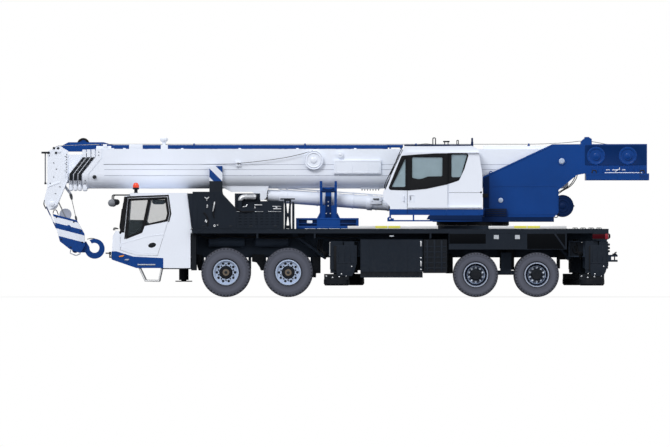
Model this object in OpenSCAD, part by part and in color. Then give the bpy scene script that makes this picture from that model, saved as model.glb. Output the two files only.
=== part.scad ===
// Four-axle truck crane on its wheels, boom lowered onto its rest, outriggers in.
// Front toward -X, left side toward -Y, ground at Z = 0, millimetres.

/* [Wheels] */
// Overall diameter of a steered tyre
front_tyre_d = 1110; // [1000:5:1140]
// Width of a steered tyre
front_tyre_w = 300; // [240:5:320]
// Overall diameter of a twin tyre
rear_tyre_d = 1005; // [940:5:1040]
// Width of one twin tyre
rear_tyre_w = 260; // [220:5:270]
// Clear gap between twin tyres
twin_gap = 60; // [40:5:90]
// Outer face of every tyre, from the centre plane
tyre_face_y = 1370; // [1340:5:1400]
// Rim seat diameter of a steered wheel
front_rim_d = 571; // [520:1:600]
// Rim seat diameter of a twin wheel
rear_rim_d = 552; // [520:1:580]
// Rim barrel wall
rim_t = 24; // [16:1:30]
// First steered axle
axle_1_x = -2675; // [-2720:5:-2640]
// Second steered axle
axle_2_x = -1276; // [-1320:5:-1240]
// First driven axle
axle_3_x = 2939; // [2900:5:2980]
// Second driven axle
axle_4_x = 4307; // [4270:5:4340]
// Steering pivot, from the centre plane
kingpin_y = 1000; // [980:5:1010]
// Steering pivot pin diameter
kingpin_d = 60; // [50:2:76]

/* [Carrier] */
// Top of the deck
deck_top = 1535; // [1520:5:1560]
// Depth of the deck edge
deck_t = 105; // [90:5:120]
// Deck width
deck_w = 2750; // [2650:10:2800]
// Front end of the deck
deck_front = -3472; // [-3472:1:-3472]
// Rear end of the deck
deck_rear = 5920; // [5900:5:5960]
// Outside width of the frame rails
rail_w = 860; // [800:10:900]
// Rail thickness
rail_t = 100; // [60:5:120]
// Lower edge of the rails
rail_bottom = 889; // [860:5:900]

/* [Driver cab] */
// Cab width
cab_w = 2500; // [2440:10:2540]
// Wall and door thickness
cab_wall = 50; // [40:2:60]
// Roof height
cab_roof = 2340; // [2320:5:2360]
// Gap round a cab door
door_gap = 6; // [5:1:10]
// Bumper front face
cab_front = -5238; // [-5245:1:-5230]

/* [Outriggers] */
// Left front jack
front_left_x = -190; // [-220:5:-170]
// Right front jack
front_right_x = 150; // [140:5:165]
// Left rear jack
rear_left_x = 5543; // [5530:1:5560]
// Right rear jack
rear_right_x = 5203; // [5190:1:5215]
// Jack centre from the centre plane, stowed
jack_y = 1150; // [1130:5:1160]
// Beam width and height
beam_size = 300; // [280:5:320]
// Beam housing wall
sleeve_t = 20; // [14:1:26]
// Jack rod diameter
jack_rod_d = 140; // [110:5:160]
// Float diameter
float_d = 576; // [500:4:600]

/* [Slewing deck] */
// Slewing centre
slew_x = 2880; // [2860:5:2900]
// Slewing ring radius
slew_r = 815; // [790:5:830]
// Cheek plate thickness
cheek_t = 100; // [60:5:110]
// Boom foot pin, along the crane
foot_x = 4880; // [4860:5:4900]
// Boom foot pin height
foot_z = 3058; // [3040:2:3070]
// Boom foot pin diameter
foot_pin_d = 130; // [110:2:150]
// Operator cab wall
op_wall = 45; // [38:1:55]

/* [Boom] */
// Half width of the base section
boom_half = 330; // [315:1:332]
// Underside of the base section
boom_bottom = 2441; // [2440:1:2460]
// Top of the base section
boom_top = 3330; // [3300:5:3340]
// Plate thickness of every section
boom_wall = 12; // [10:1:16]
// Step from one section to the next, each side
nest_step = 30; // [28:1:32]
// Front end of the base section
boom_front = -5918; // [-5930:1:-5900]
// Rear end of the base section
boom_rear = 5030; // [5000:5:5060]
// Pitch of the section collars
collar_pitch = 100; // [95:1:110]
// Length of a collar along the boom
collar_l = 80; // [70:1:85]
// Gap at slide pads
pad_gap = 0.5; // [0.3:0.1:0.8]

/* [Lift cylinder] */
// Barrel pivot, along the crane
lift_x = 2475; // [2450:5:2500]
// Barrel pivot height
lift_z = 1990; // [1980:2:2000]
// Rod eye, along the crane
rod_eye_x = -1880; // [-1890:2:-1870]
// Rod eye height
rod_eye_z = 2300; // [2295:1:2305]
// Barrel diameter
barrel_d = 310; // [280:5:320]
// Rod diameter
lift_rod_d = 210; // [180:5:230]
// Pivot pin diameter
lift_pin_d = 120; // [100:2:140]

/* [Hook] */
// Swing axis at the lower head sheaves, along the crane
head_x = -6600; // [-6610:1:-6590]
// Swing axis height
head_z = 2100; // [2090:1:2110]
// Lower head sheave diameter
head_sheave_d = 270; // [260:2:280]
// Hoist rope diameter
rope_d = 24; // [18:1:26]
// Outer radius of the hook
hook_r = 225; // [210:1:230]
// Throat radius of the hook
throat_r = 112; // [100:1:120]

/* [Hidden] */
$fn = 48;
front_r = front_tyre_d / 2;
rear_r = rear_tyre_d / 2;
deck_bottom = deck_top - deck_t;
deck_half = deck_w / 2;
rail_half = rail_w / 2;
cab_half = cab_w / 2;
fit = 0.4;
eps = 1;
cab_rear = deck_front;
deck_start = deck_front + 42;
frame_start = deck_front + 16;
hood_rear = -1379;
hood_front = -3425;
hood_half = 1300;
rail_front = -3400;
nose_top = 876;
jack5_x = -3632;
jack5_r = 108;
jack5_rod_r = 60;
beam_z0 = 925;
beam_half = beam_size / 2;
sleeve_half = beam_half + 5 + sleeve_t;
sleeve_y = 1000;
beam_inner_y = 980;
float_z = 259;
ring_split = 1610;
ring_top = 1690;
base_top = 1800;
platform_z = 1976;
cheek_y = boom_half + 20;
boom_axis_z = boom_bottom + boom_half;
spindle_r = 48;
twin_spindle_r = 62;
lift_dx = rod_eye_x - lift_x;
lift_dz = rod_eye_z - lift_z;
lift_len = sqrt(lift_dx * lift_dx + lift_dz * lift_dz);
lift_tilt = atan2(lift_dx, lift_dz);
hang_tilt = 25;
LEFT = -1;
RIGHT = 1;
white = [0.91, 0.93, 0.96];
blue = [0.06, 0.24, 0.51];
slate = [0.14, 0.17, 0.2];
black = [0.05, 0.05, 0.06];
silver = [0.68, 0.74, 0.82];
grey = [0.45, 0.46, 0.48];

// Helpers

module bar(x, y, z) {
    translate([x[0], y[0], z[0]]) cube([x[1] - x[0], y[1] - y[0], z[1] - z[0]]);
}

module slab(pts, y) {
    translate([0, y[1], 0]) rotate([90, 0, 0]) linear_extrude(y[1] - y[0]) polygon(pts);
}

module across(x, z, r, y) {
    translate([x, y[1], z]) rotate([90, 0, 0]) cylinder(h = y[1] - y[0], r = r);
}

module along(x, y, z, r) {
    translate([x[0], y, z]) rotate([0, 90, 0]) cylinder(h = x[1] - x[0], r = r);
}

module upright(x, y, r, z) {
    translate([x, y, z[0]]) cylinder(h = z[1] - z[0], r = r);
}

module rod(a, b, r, y) {
    dx = b[0] - a[0];
    dz = b[1] - a[1];
    translate([a[0], y, a[1]]) rotate([0, atan2(dx, dz), 0]) cylinder(h = sqrt(dx * dx + dz * dz), r = r);
}

module turned(x, z, pts) {
    translate([x, 0, z]) rotate([-90, 0, 0]) rotate_extrude() polygon(pts);
}

module both() {
    children();
    mirror([0, 1, 0]) children();
}

// s is 1 on the right side and -1 on the left
module on_side(s) {
    if (s > 0) children();
    else mirror([0, 1, 0]) children();
}

// Carrier

module sleeve(x, t) {
    h = beam_half + 5 + t;
    bar([x - h, x + h], [-sleeve_y - (sleeve_t - t), sleeve_y + (sleeve_t - t)],
        [beam_z0 - t, beam_z0 + beam_size + 10 + t]);
}

// Cover over the end of an outrigger box
module box_cover(s, x) {
    on_side(s) bar(x, [sleeve_y - eps, 1330], [640, beam_z0 + beam_size + 25]);
}

module chassis_frame() {
    color(slate) difference() {
        union() {
            both() bar([rail_front, deck_rear - 20], [rail_half - rail_t, rail_half], [rail_bottom, deck_bottom]);
            bar([hood_rear, deck_rear - 20], [-rail_half, rail_half], [deck_bottom - 35, deck_bottom]);
            bar([rail_front, rail_front + 60], [-rail_half, rail_half], [660, deck_bottom]);
            both() bar([frame_start, -3345], [rail_half - eps, 1240], [600, deck_bottom]);
            bar([frame_start, rail_front + eps], [-rail_half, rail_half], [nose_top - eps, deck_bottom]);
            slab([[-5100, 840], [-4690, 670], [-4000, 660], [rail_front + eps, 660], [rail_front + eps, nose_top],
                [-5100, nose_top]], [-400, 400]);
            bar([-4000, -3600], [-300, 300], [nose_top - eps, 930]);
            upright(jack5_x, 0, jack5_r, [380, nose_top]);
            for (x = [front_left_x, front_right_x, rear_left_x, rear_right_x]) sleeve(x, sleeve_t);
            box_cover(LEFT, [front_left_x + beam_half + 15, front_left_x + 397]);
            box_cover(RIGHT, [front_right_x - 397, front_right_x - beam_half - 15]);
            box_cover(LEFT, [rear_left_x + beam_half + 15, deck_rear - 12]);
            box_cover(RIGHT, [rear_right_x + beam_half + 15, rear_right_x + 370]);
            both() bar([2330, 4980], [deck_half - 45, deck_half], [1071, deck_bottom]);
            both() bar([2330, 4980], [760, deck_half], [1071, 1091]);
            for (x = [2330, 3600, 4950])
                both() bar([x, x + 30], [rail_half - eps, deck_half], [1071, deck_bottom]);
            for (x = [-1990, -700, 1900])
                both() bar([x, x + 40], [rail_half - eps, deck_half], [1320, deck_bottom]);
            upright(slew_x, 0, slew_r - 25, [deck_bottom - 35, ring_split]);
            bar([deck_rear - 50, deck_rear - 20], [-rail_half, rail_half], [760, deck_bottom]);
            bar([deck_rear - 21, deck_rear + 15], [-200, 200], [700, 1050]);
            bar([deck_rear + 14, 6143], [-70, 70], [790, 950]);
            both() rod([4617, 1379], [5056, 850], 45, 700);
            both() rod([-1120, 1385], [-430, 880], 45, 700);
            both() bar([4560, 4690], [rail_half - eps, 745], [1340, deck_bottom]);
            both() bar([-1180, -1060], [rail_half - eps, 745], [1340, deck_bottom]);
        }
        for (x = [front_left_x, front_right_x, rear_left_x, rear_right_x]) sleeve(x, 0);
        upright(jack5_x, 0, jack5_rod_r + fit, [300, 850]);
        upright(slew_x, 0, slew_r - 225, [deck_bottom - 40, ring_split + eps]);
        bar([6000, 6200], [-80, 80], [835, 905]);
        upright(6075, 0, 26, [700, 1000]);
    }
}

module deck() {
    color(slate) difference() {
        union() {
            bar([deck_start, deck_rear], [-deck_half, deck_half], [deck_bottom, deck_top]);
            both() bar([67, 2070], [deck_half - 195, deck_half - 5], [deck_top - eps, deck_top + 62]);
            both() bar([3231, 4970], [deck_half - 195, deck_half - 5], [deck_top - eps, deck_top + 62]);
            both() stowage_stand();
        }
        upright(slew_x, 0, slew_r - 22, [deck_bottom - eps, deck_top + eps]);
        bar([-3380, -1450], [-420, 420], [deck_bottom - eps, deck_top + eps]);
    }
}

module stowage_stand() {
    y = deck_half - 125;
    waist = 1860;
    top = 2221;
    for (d = [-1, 1]) {
        rod([-1289 + d * 58, deck_top - 10], [-1289 + d * 34, waist], 20, y);
        rod([-1289 + d * 34, waist], [-1289 + d * 62, top - 10], 20, y);
    }
    bar([-1451, -1127], [y - 25, y + 25], [top - 30, top]);
    bar([-1348, -1230], [y - 24, y + 24], [waist - 30, waist + 30]);
    bar([-1190, -1140], [y - 25, y + 25], [deck_top - eps, 2137]);
}

module engine() {
    color(silver) {
        inner = rail_half - rail_t;
        bar([-3200, -1500], [-inner, inner], [950, 1900]);
        translate([0, -1250, 0]) {
            upright(-2358, 0, 55, [2014, 2160]);
            translate([-2258, 0, 2150]) rotate([90, 0, 0]) rotate([0, 0, 90])
                rotate_extrude(angle = 90) translate([100, 0]) circle(r = 57);
            along([-2268, -1971], 0, 2250, 55);
        }
    }
}

module engine_hood() {
    color(slate) difference() {
        union() {
            slab([[hood_front, deck_top], [hood_front, 2369], [-2761, 2369], [-2754, 2315], [-2477, 2014],
                [-1908, 2014], [-1908, 2090], [hood_rear, 2090], [hood_rear, deck_top]],
                [-hood_half, hood_half]);
            both() bar([-2477, -1908], [1020, 1190], [2000, 2330]);
            both() bar([-1908 - eps, hood_rear], [1020, hood_half], [2050, 2158]);
        }
        bar([hood_front + 30, hood_rear - 30], [-hood_half + 30, hood_half - 30], [deck_top - eps, 1985]);
        bar([hood_front + 30, -2800], [-hood_half + 30, hood_half - 30], [1900, 2339]);
        for (x = [-2380 : 120 : -1480])
            both() bar([x, x + 60], [hood_half - 12, hood_half + eps], [1620, 1880]);
    }
}

cab_profile = [[cab_front, 1030], [-5215, 1380], [-5150, 1490], [-5050, 1470], [-4950, 2255],
    [-4916, 2290], [-4800, cab_roof], [-3550, cab_roof], [-3438, 1444], [cab_rear, 1420], [cab_rear, 652],
    [-4084, 652], [-4084, 878], [-4754, 911], [-5141, 1030]];
cab_inside = [[-5160, 1090], [-5140, 1380], [-5110, 1420], [-5000, 1420], [-4897, 2250],
    [-4790, cab_roof - cab_wall], [-3592, cab_roof - cab_wall], [-3490, 1450],
    [cab_rear - cab_wall, 1420], [cab_rear - cab_wall, 980], [-4754, 980]];

function door_outline(g) = [[-5047 - g, 1060 - g], [-4687, 945 - g], [-4217 + g, 935 - g], [-3980 + g, 1694],
    [-3938 + g, 1874], [-3989 + g, 2258 + g], [-4875 - g, 2222 + g], [-4955 - g, 1450 + g],
    [-5047 - g, 1450 + g]];
door_hinge_x = -5047;
door_window_front = [[-4840, 2180], [-4415, 2198], [-4530, 1660], [-4583, 1470], [-4900, 1345]];
door_window_rear = [[-4375, 2200], [-4035, 2214], [-3985, 1880], [-4020, 1735], [-4490, 1625]];

module cab_shell() {
    side = [cab_half - cab_wall - eps, cab_half + eps];
    color(white) difference() {
        slab(cab_profile, [-cab_half, cab_half]);
        slab(cab_inside, [-cab_half + cab_wall, cab_half - cab_wall]);
        bar([-4084 + cab_wall, cab_rear - cab_wall], [-cab_half + cab_wall, cab_half - cab_wall], [600, 930]);
        bar([-5300, cab_rear + eps], [-420, 420], [600, nose_top]);
        bar([-5200, -4800], [-1130, 1130], [1530, 2230]);
        bar([-3700, -3400], [-700, 700], [1750, 2250]);
        both() slab(door_outline(door_gap), side);
        both() for (z = [1120, 1340])
            upright(door_hinge_x, cab_half, 16 + fit, [z - 2, z + 82]);
    }
}

module cab_glass() {
    color(grey) {
        slab([[-5036, 1530], [-5024, 1530], [-4939, 2230], [-4951, 2230]], [-1130, 1130]);
        slab([[-3562, 2250], [-3554, 2250], [-3493, 1750], [-3501, 1750]], [-700, 700]);
    }
}

module cab_interior() {
    color(black) {
        slab([[-5080, 1400], [-4900, 1390], [-4820, 1250], [-4870, 1011.7], [-5080, 1068.6]],
            [-1150, 1150]);
        both() {
            bar([-4480, -3960], [420, 900], [980, 1180]);
            slab([[-4500, 1180], [-3900, 1180], [-3900, 1300], [-4500, 1330]], [400, 920]);
            slab([[-4010, 1300], [-3870, 1300], [-3700, 1980], [-3820, 1980]], [420, 900]);
        }
        translate([-4640, -650, 1520]) rotate([0, -35, 0]) {
            rotate_extrude() translate([215, 0]) circle(r = 18);
            cylinder(h = 24, r = 55, center = true);
            for (a = [30, 150, 270])
                rotate([0, 0, a]) translate([0, -14, -9]) cube([215, 28, 18]);
            translate([0, 0, -330]) cylinder(h = 330, r = 34);
        }
    }
}

module front_bumper() {
    color(blue) difference() {
        union() {
            difference() {
                slab([[cab_front, 1030], [-5141, 1030], [-4754, 911], [-4084, 878], [-4084, 652], [-4687, 652],
                    [-5141, 808], [cab_front, 842]], [-cab_half - 5, cab_half + 5]);
                bar([cab_front + 78, -4080], [-cab_half + 60, cab_half - 60], [600, 1100]);
            }
            both() step_hoop();
            both() bar([cab_front - 70, cab_front + 10], [430, 470], [880, 970]);
            along([-5395, cab_front + 10], 0, 985, 14);
            bar([-5320, -5270], [-30, 30], [955, 1015]);
        }
        both() across(cab_front - 38, 925, 20, [400, 500]);
    }
}

module step_hoop() {
    y = cab_half - 28;
    rod([-4626, 660], [-4489, 369], 18, y);
    rod([-4489, 369], [-4187, 360], 18, y);
    rod([-4187, 360], [-4120, 660], 18, y);
    for (p = [[-4489, 369], [-4187, 360]]) translate([p[0], y, p[1]]) sphere(r = 20);
}

module lamps() {
    color([0.85, 0.2, 0.05]) {
        upright(-4700, -1000, 36, [cab_roof, 2460]);
        translate([-4700, -1000, 2504]) sphere(r = 66);
        both() {
            bar([cab_front - 8, cab_front], [820, 1120], [870, 1000]);
            across(-5031, 905, 45, [cab_half + 5, cab_half + 14]);
            across(-4900, 832, 45, [cab_half + 5, cab_half + 14]);
            bar([-4660, -4264], [cab_half + 5, cab_half + 12], [716, 746]);
            bar([5560, 5909], [deck_half - 70, deck_half], [1292, deck_bottom]);
            for (x = [3398, 3872]) bar([x - 55, x + 55], [deck_half, deck_half + 8], [1305, 1395]);
        }
    }
}

module mirrors() {
    color(black) both() {
        across(-4845, 2295, 14, [cab_half, 1400]);
        along([-5229, -4845], 1400, 2295, 14);
        upright(-5229, 1400, 14, [2115, 2295]);
        translate([-5229, 1400, 2295]) sphere(r = 16);
        translate([-4845, 1400, 2295]) sphere(r = 16);
        translate([-5240, 1400, 2115]) rotate([0, 90, 35]) cylinder(h = 56, r = 86, center = true);
        translate([-5160, 1372, 2130]) rotate([0, 90, 35]) cylinder(h = 44, r = 64, center = true);
        bar([-5230, -5160], [1374, 1398], [2112, 2136]);
    }
}

module boom_supports() {
    color(blue) {
        rest_z = boom_bottom - 6;
        union() {
            bar([-3053, -2761], [-cheek_y - 95, cheek_y + 95], [2369, rest_z]);
            both() bar([-3053, -2761], [cheek_y - 5, cheek_y + 95], [2369, 2948]);
        }
        difference() {
            union() {
                bar([-1102, 308], [-1000, 1000], [deck_top, 1777]);
                both() bar([-567, -180], [cheek_y, cheek_y + 80], [1776, 2610]);
            }
            both() bar([-1040, -630], [965, 1001], [1600, 1735]);
            both() bar([-110, 250], [965, 1001], [1600, 1735]);
            both() bar([-510, -237], [cheek_y - eps, cheek_y + 81], [2470, 2620]);
            both() bar([-505, -440], [cheek_y - eps, cheek_y + 81], [2060, 2390]);
            both() bar([-307, -242], [cheek_y - eps, cheek_y + 81], [2060, 2390]);
            bar([-700, 0], [-180, 180], [1640, 1790]);
        }
    }
}

module side_boxes() {
    color(slate) {
        for (s = [-1, 1]) on_side(s) {
            x0 = s < 0 ? 345 : 520;
            bar([x0, 1744], [rail_half, deck_half - 15], [439, 1296]);
            bar([x0 + 20, 1724], [deck_half - 15, deck_half - 5], [569, 1280]);
            bar([1765, 2293], [rail_half, deck_half - 15], [540, 1296]);
        }
    }
}

module steer_axle(x) {
    z = front_r;
    pin_r = kingpin_d / 2;
    bar([x - 60, x + 60], [-850, 850], [z - 65, z + 65]);
    both() {
        bar([x - 50, x + 50], [820, 900], [z - 160, z + 160]);
        bar([x - 50, x + 50], [820, kingpin_y], [z + 118, z + 160]);
        bar([x - 50, x + 50], [820, kingpin_y], [z - 160, z - 118]);
        upright(x, kingpin_y, pin_r, [z - 160, z + 160]);
        upright(x, kingpin_y, 50, [z + 118, z + 160]);
        upright(x, kingpin_y, 50, [z - 160, z - 118]);
        bar([x - 560, x + 560], [rail_half - 90, rail_half - 10], [z + 64, z + 124]);
        for (d = [-560, 500])
            bar([x + d, x + d + 60], [rail_half - 90, rail_half - 10], [z + 123, rail_bottom]);
        slab([[x - 450, z + 51], [x - 340, z + 51], [x - 300, rail_bottom], [x - 470, rail_bottom]],
            [rail_half - 95, rail_half - 5]);
    }
}

module drive_axle(x) {
    z = rear_r;
    across(x, z, 92, [-1010, 1010]);
    across(x, z, twin_spindle_r, [-1248, 1248]);
    translate([x, 0, z]) sphere(r = 235);
    both() across(x, z, 205, [820, 1000]);
}

module axles() {
    color(black) {
        steer_axle(axle_1_x);
        steer_axle(axle_2_x);
        union() {
            drive_axle(axle_3_x);
            drive_axle(axle_4_x);
            mid = (axle_3_x + axle_4_x) / 2;
            both() {
                bar([axle_3_x, axle_4_x], [580, 680], [rear_r - 3, rear_r + 77]);
                bar([mid - 120, mid + 120], [rail_half, 700], [rear_r + 20, 1000]);
            }
        }
    }
}

module front_jack() {
    color(black) {
        upright(jack5_x, 0, jack5_rod_r, [360, 840]);
        upright(jack5_x, 0, 190, [342, 365]);
    }
}

// Wheels and steering

module knuckle(x, s) {
    z = front_r;
    color(grey) on_side(s) difference() {
        union() {
            upright(x, kingpin_y, 62, [z - 115, z + 115]);
            across(x, z, spindle_r, [kingpin_y + 40, 1238]);
            across(x, z, 185, [1090, 1180]);
            across(x, z, 80, [kingpin_y + 45, 1100]);
            bar([x + 20, x + 240], [kingpin_y - 45, kingpin_y - 5], [z + 75, z + 105]);
        }
        upright(x, kingpin_y, kingpin_d / 2 + fit, [z - 200, z + 200]);
    }
}

// Cross-section of a tyre, as radius and place along the axle
function tyre_section(bead_r, r, y0, y1) = [[bead_r, y0 + 15], [bead_r + 0.45 * (r - bead_r), y0],
    [r - 55, y0 + 6], [r, y0 + 34], [r, y1 - 34], [r - 55, y1 - 6],
    [bead_r + 0.45 * (r - bead_r), y1], [bead_r, y1 - 15]];

module tyre_front(x, s) {
    color(black) on_side(s)
        turned(x, front_r, tyre_section(front_rim_d / 2, front_r, tyre_face_y - front_tyre_w, tyre_face_y));
}

module tyre_rear(x, s) {
    inner = tyre_face_y - rear_tyre_w - twin_gap;
    color(black) on_side(s) {
        turned(x, rear_r, tyre_section(rear_rim_d / 2, rear_r, tyre_face_y - rear_tyre_w, tyre_face_y));
        turned(x, rear_r, tyre_section(rear_rim_d / 2, rear_r, inner - rear_tyre_w, inner));
    }
}

module rim_front(x, s) {
    r = front_rim_d / 2;
    b = r - rim_t;
    y1 = tyre_face_y;
    y0 = y1 - front_tyre_w;
    bore = spindle_r + fit;
    color(silver) on_side(s) difference() {
        turned(x, front_r, [[bore, 1195], [124, 1195], [124, y1 - 85], [b, y1 - 85], [b, y0 + 10], [r, y0 + 10],
            [r, y1 - 10], [b, y1 - 10], [b, y1 - 65], [150, y1 - 65], [124, y1 - 40], [75, y1 - 40], [75, y1 - 22],
            [0, y1 - 22], [0, 1240], [bore, 1240]]);
        for (a = [0 : 36 : 324])
            translate([x + 205 * cos(a), y1 - 75, front_r + 205 * sin(a)]) rotate([90, 0, 0])
                cylinder(h = 60, r = 30, center = true);
    }
}

module rim_rear(x, s) {
    r = rear_rim_d / 2;
    b = r - rim_t;
    y1 = tyre_face_y;
    mid = y1 - rear_tyre_w - twin_gap / 2;
    y0 = y1 - 2 * rear_tyre_w - twin_gap;
    bore = twin_spindle_r + fit;
    color(grey) on_side(s) {
        difference() {
            turned(x, rear_r, [[bore, mid - 40], [122, mid - 40], [122, mid - 10], [b, mid - 10], [b, y0 + 10],
                [r, y0 + 10], [r, y1 - 10], [b, y1 - 10], [b, mid + 12], [200, mid + 12], [200, mid + 26],
                [122, mid + 26], [122, y1 - 60], [98, y1 - 40], [0, y1 - 40], [0, 1250], [bore, 1250]]);
            for (a = [18 : 36 : 342])
                translate([x + 225 * cos(a), mid, rear_r + 225 * sin(a)]) rotate([90, 0, 0])
                    cylinder(h = 60, r = 16, center = true);
        }
    }
}

// Outriggers

module outrigger_beam(x, s) {
    color(slate) on_side(s) difference() {
        union() {
            bar([x - beam_half, x + beam_half], [-beam_inner_y, jack_y], [beam_z0 + pad_gap, beam_z0 + beam_size]);
            bar([x - 140, x + 140], [jack_y - 135, jack_y + 140], [540, 1260]);
            bar([x - 150, x + 150], [jack_y + 100, jack_y + 152], [620, 1180]);
        }
        upright(x, jack_y, jack_rod_d / 2 + fit, [500, 1235]);
    }
}

module outrigger_jack(x, s) {
    color(black) on_side(s) {
        upright(x, jack_y, jack_rod_d / 2, [300, 1220]);
        upright(x, jack_y, 115, [300, 430]);
        upright(x, jack_y, float_d / 2, [float_z + 40, float_z + 130]);
        bar([x - float_d / 2 + 8, x + float_d / 2 - 8], [jack_y - 180, jack_y + 180], [float_z + 129, 520]);
        translate([x, jack_y, float_z]) cylinder(h = 41, r1 = float_d / 2 - 30, r2 = float_d / 2);
    }
}

// Doors of the driver's cab

module cab_door(s) {
    color(white) on_side(s) {
        difference() {
            slab(door_outline(0), [cab_half - cab_wall + 5, cab_half]);
            slab(door_window_front, [cab_half - 100, cab_half + 20]);
            slab(door_window_rear, [cab_half - 100, cab_half + 20]);
            across(-4334, 1166, 50, [cab_half - 12, cab_half + 5]);
        }
        for (z = [1120, 1340]) upright(door_hinge_x, cab_half, 16, [z, z + 80]);
    }
}

// Slewing upper works

cheek_outline = [[3105, 2709], [4664, 3438], [6800, 3445], [6800, 2781], [5418, 2781], [5220, 2745],
    [4808, 2408], [4808, 1900], [4700, base_top - 10], [3110, base_top - 10], [3110, 2600]];

module turntable() {
    out = cheek_y + cheek_t;
    color(blue) union() {
        upright(slew_x, 0, slew_r, [ring_split + pad_gap, ring_top + eps]);
        bar([1980, 4700], [-800, 800], [ring_top, base_top]);
        both() slab(cheek_outline, [cheek_y, out]);
        bar([4640, 4700], [-out, out], [base_top - eps, 2300]);
        bar([6740, 6800], [-out, out], [2781, 3300]);
        bar([5310, 5558], [-out, out], [3400, 3500]);
        both() slab([[5300, 3430], [5330, 3520], [5420, 3596], [5480, 3600], [5556, 3560], [5556, 3430]],
            [cheek_y, out]);
        across(foot_x, foot_z, foot_pin_d / 2, [-out - 20, out + 20]);
        both() across(foot_x, foot_z, 95, [out - eps, out + 12]);
        both() across(3506, 2178, 54, [out - eps, out + 14]);
        both() for (x = [5652, 6368]) across(x, 3175, 90, [out - eps, out + 24]);
        across(4898, 2048, 250, [-out + 20, -cheek_y]);
        bar([997, 3105], [-1330, -cheek_y], [1845, platform_z]);
        bar([1980, 3105], [-795, -560], [base_top - eps, 1846]);
        bar([950, 3080], [-1330, -1290], [ring_top + 10, ring_top + 42]);
        bar([950, 1098], [-1330, -1290], [ring_top + 41, 1770]);
        for (x = [997, 1520]) bar([x, x + 36], [-1330, -1290], [ring_top + 41, 1846]);
        bar([1900, 3080], [-1330, -1290], [ring_top + 41, 1846]);
        bar([2900, 3080], [-1330, -700], [ring_top + 20, 1846]);
        bar([3040, 3300], [-out - 40, -cheek_y], [1845, platform_z]);
        both() slab([[2260, base_top - eps], [2690, base_top - eps], [2590, lift_z], [2360, lift_z]], [180, 240]);
        both() across(lift_x, lift_z, 115, [180, 240]);
        across(lift_x, lift_z, lift_pin_d / 2, [-250, 250]);
    }
}

module counterweight() {
    color(blue) difference() {
        bar([5418, 6840], [-1100, 1100], [2626, 2781]);
        both() translate([6840, 1100, 2600]) rotate([0, 0, 45]) cube([320, 320, 500], center = true);
    }
}

module winches() {
    color(grey) for (x = [5652, 6368]) {
        across(x, 3175, 150, [-cheek_y + 12, cheek_y - 12]);
        across(x, 3175, 90, [-cheek_y, cheek_y]);
        both() across(x, 3175, 215, [cheek_y - 32, cheek_y - 12]);
    }
}

op_profile = [[1339, 3386], [2853, 3398], [2938, 3359], [2999, 3308], [3085, 2759], [3085, platform_z],
    [1013, platform_z], [1013, 2034], [873, 2174], [855, 2345], [891, 2430]];
op_inside = [[1368, 3386 - op_wall], [2840, 3398 - op_wall], [2905, 3322], [2957, 3286], [3085 - op_wall, 2755],
    [3085 - op_wall, platform_z + op_wall], [1058, platform_z + op_wall], [1058, 2056], [920, 2190],
    [902, 2338], [936, 2420]];
op_near = -1330;
op_far = -430;
op_door_x = [1406, 2302];
op_door_z = [2030, 3238];
op_front_pane = [[1040, 2470], [1360, 3130], [1360, 2470]];
op_rear_pane = [[2385, 2690], [2385, 3210], [2740, 3210], [2740, 3180], [2600, 2690]];

module operator_cab() {
    color(white) difference() {
        union() {
            slab(op_profile, [op_near, op_far]);
            bar([op_door_x[0] - 6, 3060], [op_near - 50, op_near + 10], [op_door_z[1] + pad_gap, op_door_z[1] + 22]);
            bar([op_door_x[0] - 6, 3060], [op_near - 50, op_near + 10], [op_door_z[0] - 22, op_door_z[0] - pad_gap]);
        }
        slab(op_inside, [op_near + op_wall, op_far - op_wall]);
        for (y = [[op_near - eps, op_near + op_wall + eps], [op_far - op_wall - eps, op_far + eps]]) {
            slab(op_front_pane, y);
            slab(op_rear_pane, y);
        }
        bar([op_door_x[0] + 40, op_door_x[1] - 40], [op_near - eps, op_near + op_wall + eps],
            [op_door_z[0] + 50, op_door_z[1] - 50]);
        bar([op_door_x[0] + 90, op_door_x[1] - 90], [op_far - op_wall - eps, op_far + eps], [2640, 3160]);
        slab([[800, 2460], [1100, 2460], [1420, 3290], [1150, 3290]], [op_near + 75, op_far - 75]);
        bar([2900, 3150], [op_near + 120, op_far - 120], [2800, 3250]);
    }
}

module operator_glass() {
    color(grey) {
        for (y = [op_near + 15, op_far - 23]) {
            slab(op_front_pane, [y, y + 8]);
            slab(op_rear_pane, [y, y + 8]);
        }
        bar([op_door_x[0] + 90, op_door_x[1] - 90], [op_far - 23, op_far - 15], [2640, 3160]);
        slab([[917, 2460], [925, 2460], [1314, 3290], [1306, 3290]], [op_near + 75, op_far - 75]);
        slab([[3061, 2800], [3069, 2800], [2999, 3250], [2991, 3250]], [op_near + 120, op_far - 120]);
    }
}

module operator_seat() {
    floor_z = platform_z + op_wall;
    mid = (op_near + op_far) / 2;
    color(black) {
        bar([1800, 2300], [mid - 230, mid + 230], [floor_z, floor_z + 280]);
        slab([[1720, floor_z + 280], [2380, floor_z + 280], [2380, floor_z + 400], [1720, floor_z + 430]],
            [mid - 250, mid + 250]);
        slab([[2290, floor_z + 400], [2420, floor_z + 400], [2560, floor_z + 1040], [2450, floor_z + 1040]],
            [mid - 230, mid + 230]);
        both_levers(mid, floor_z);
    }
}

module both_levers(mid, floor_z) {
    for (d = [-330, 250]) {
        bar([1720, 2200], [mid + d, mid + d + 80], [floor_z, floor_z + 560]);
        upright(1800, mid + d + 40, 14, [floor_z + 559, floor_z + 760]);
        translate([1800, mid + d + 40, floor_z + 760]) sphere(r = 32);
    }
}

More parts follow.
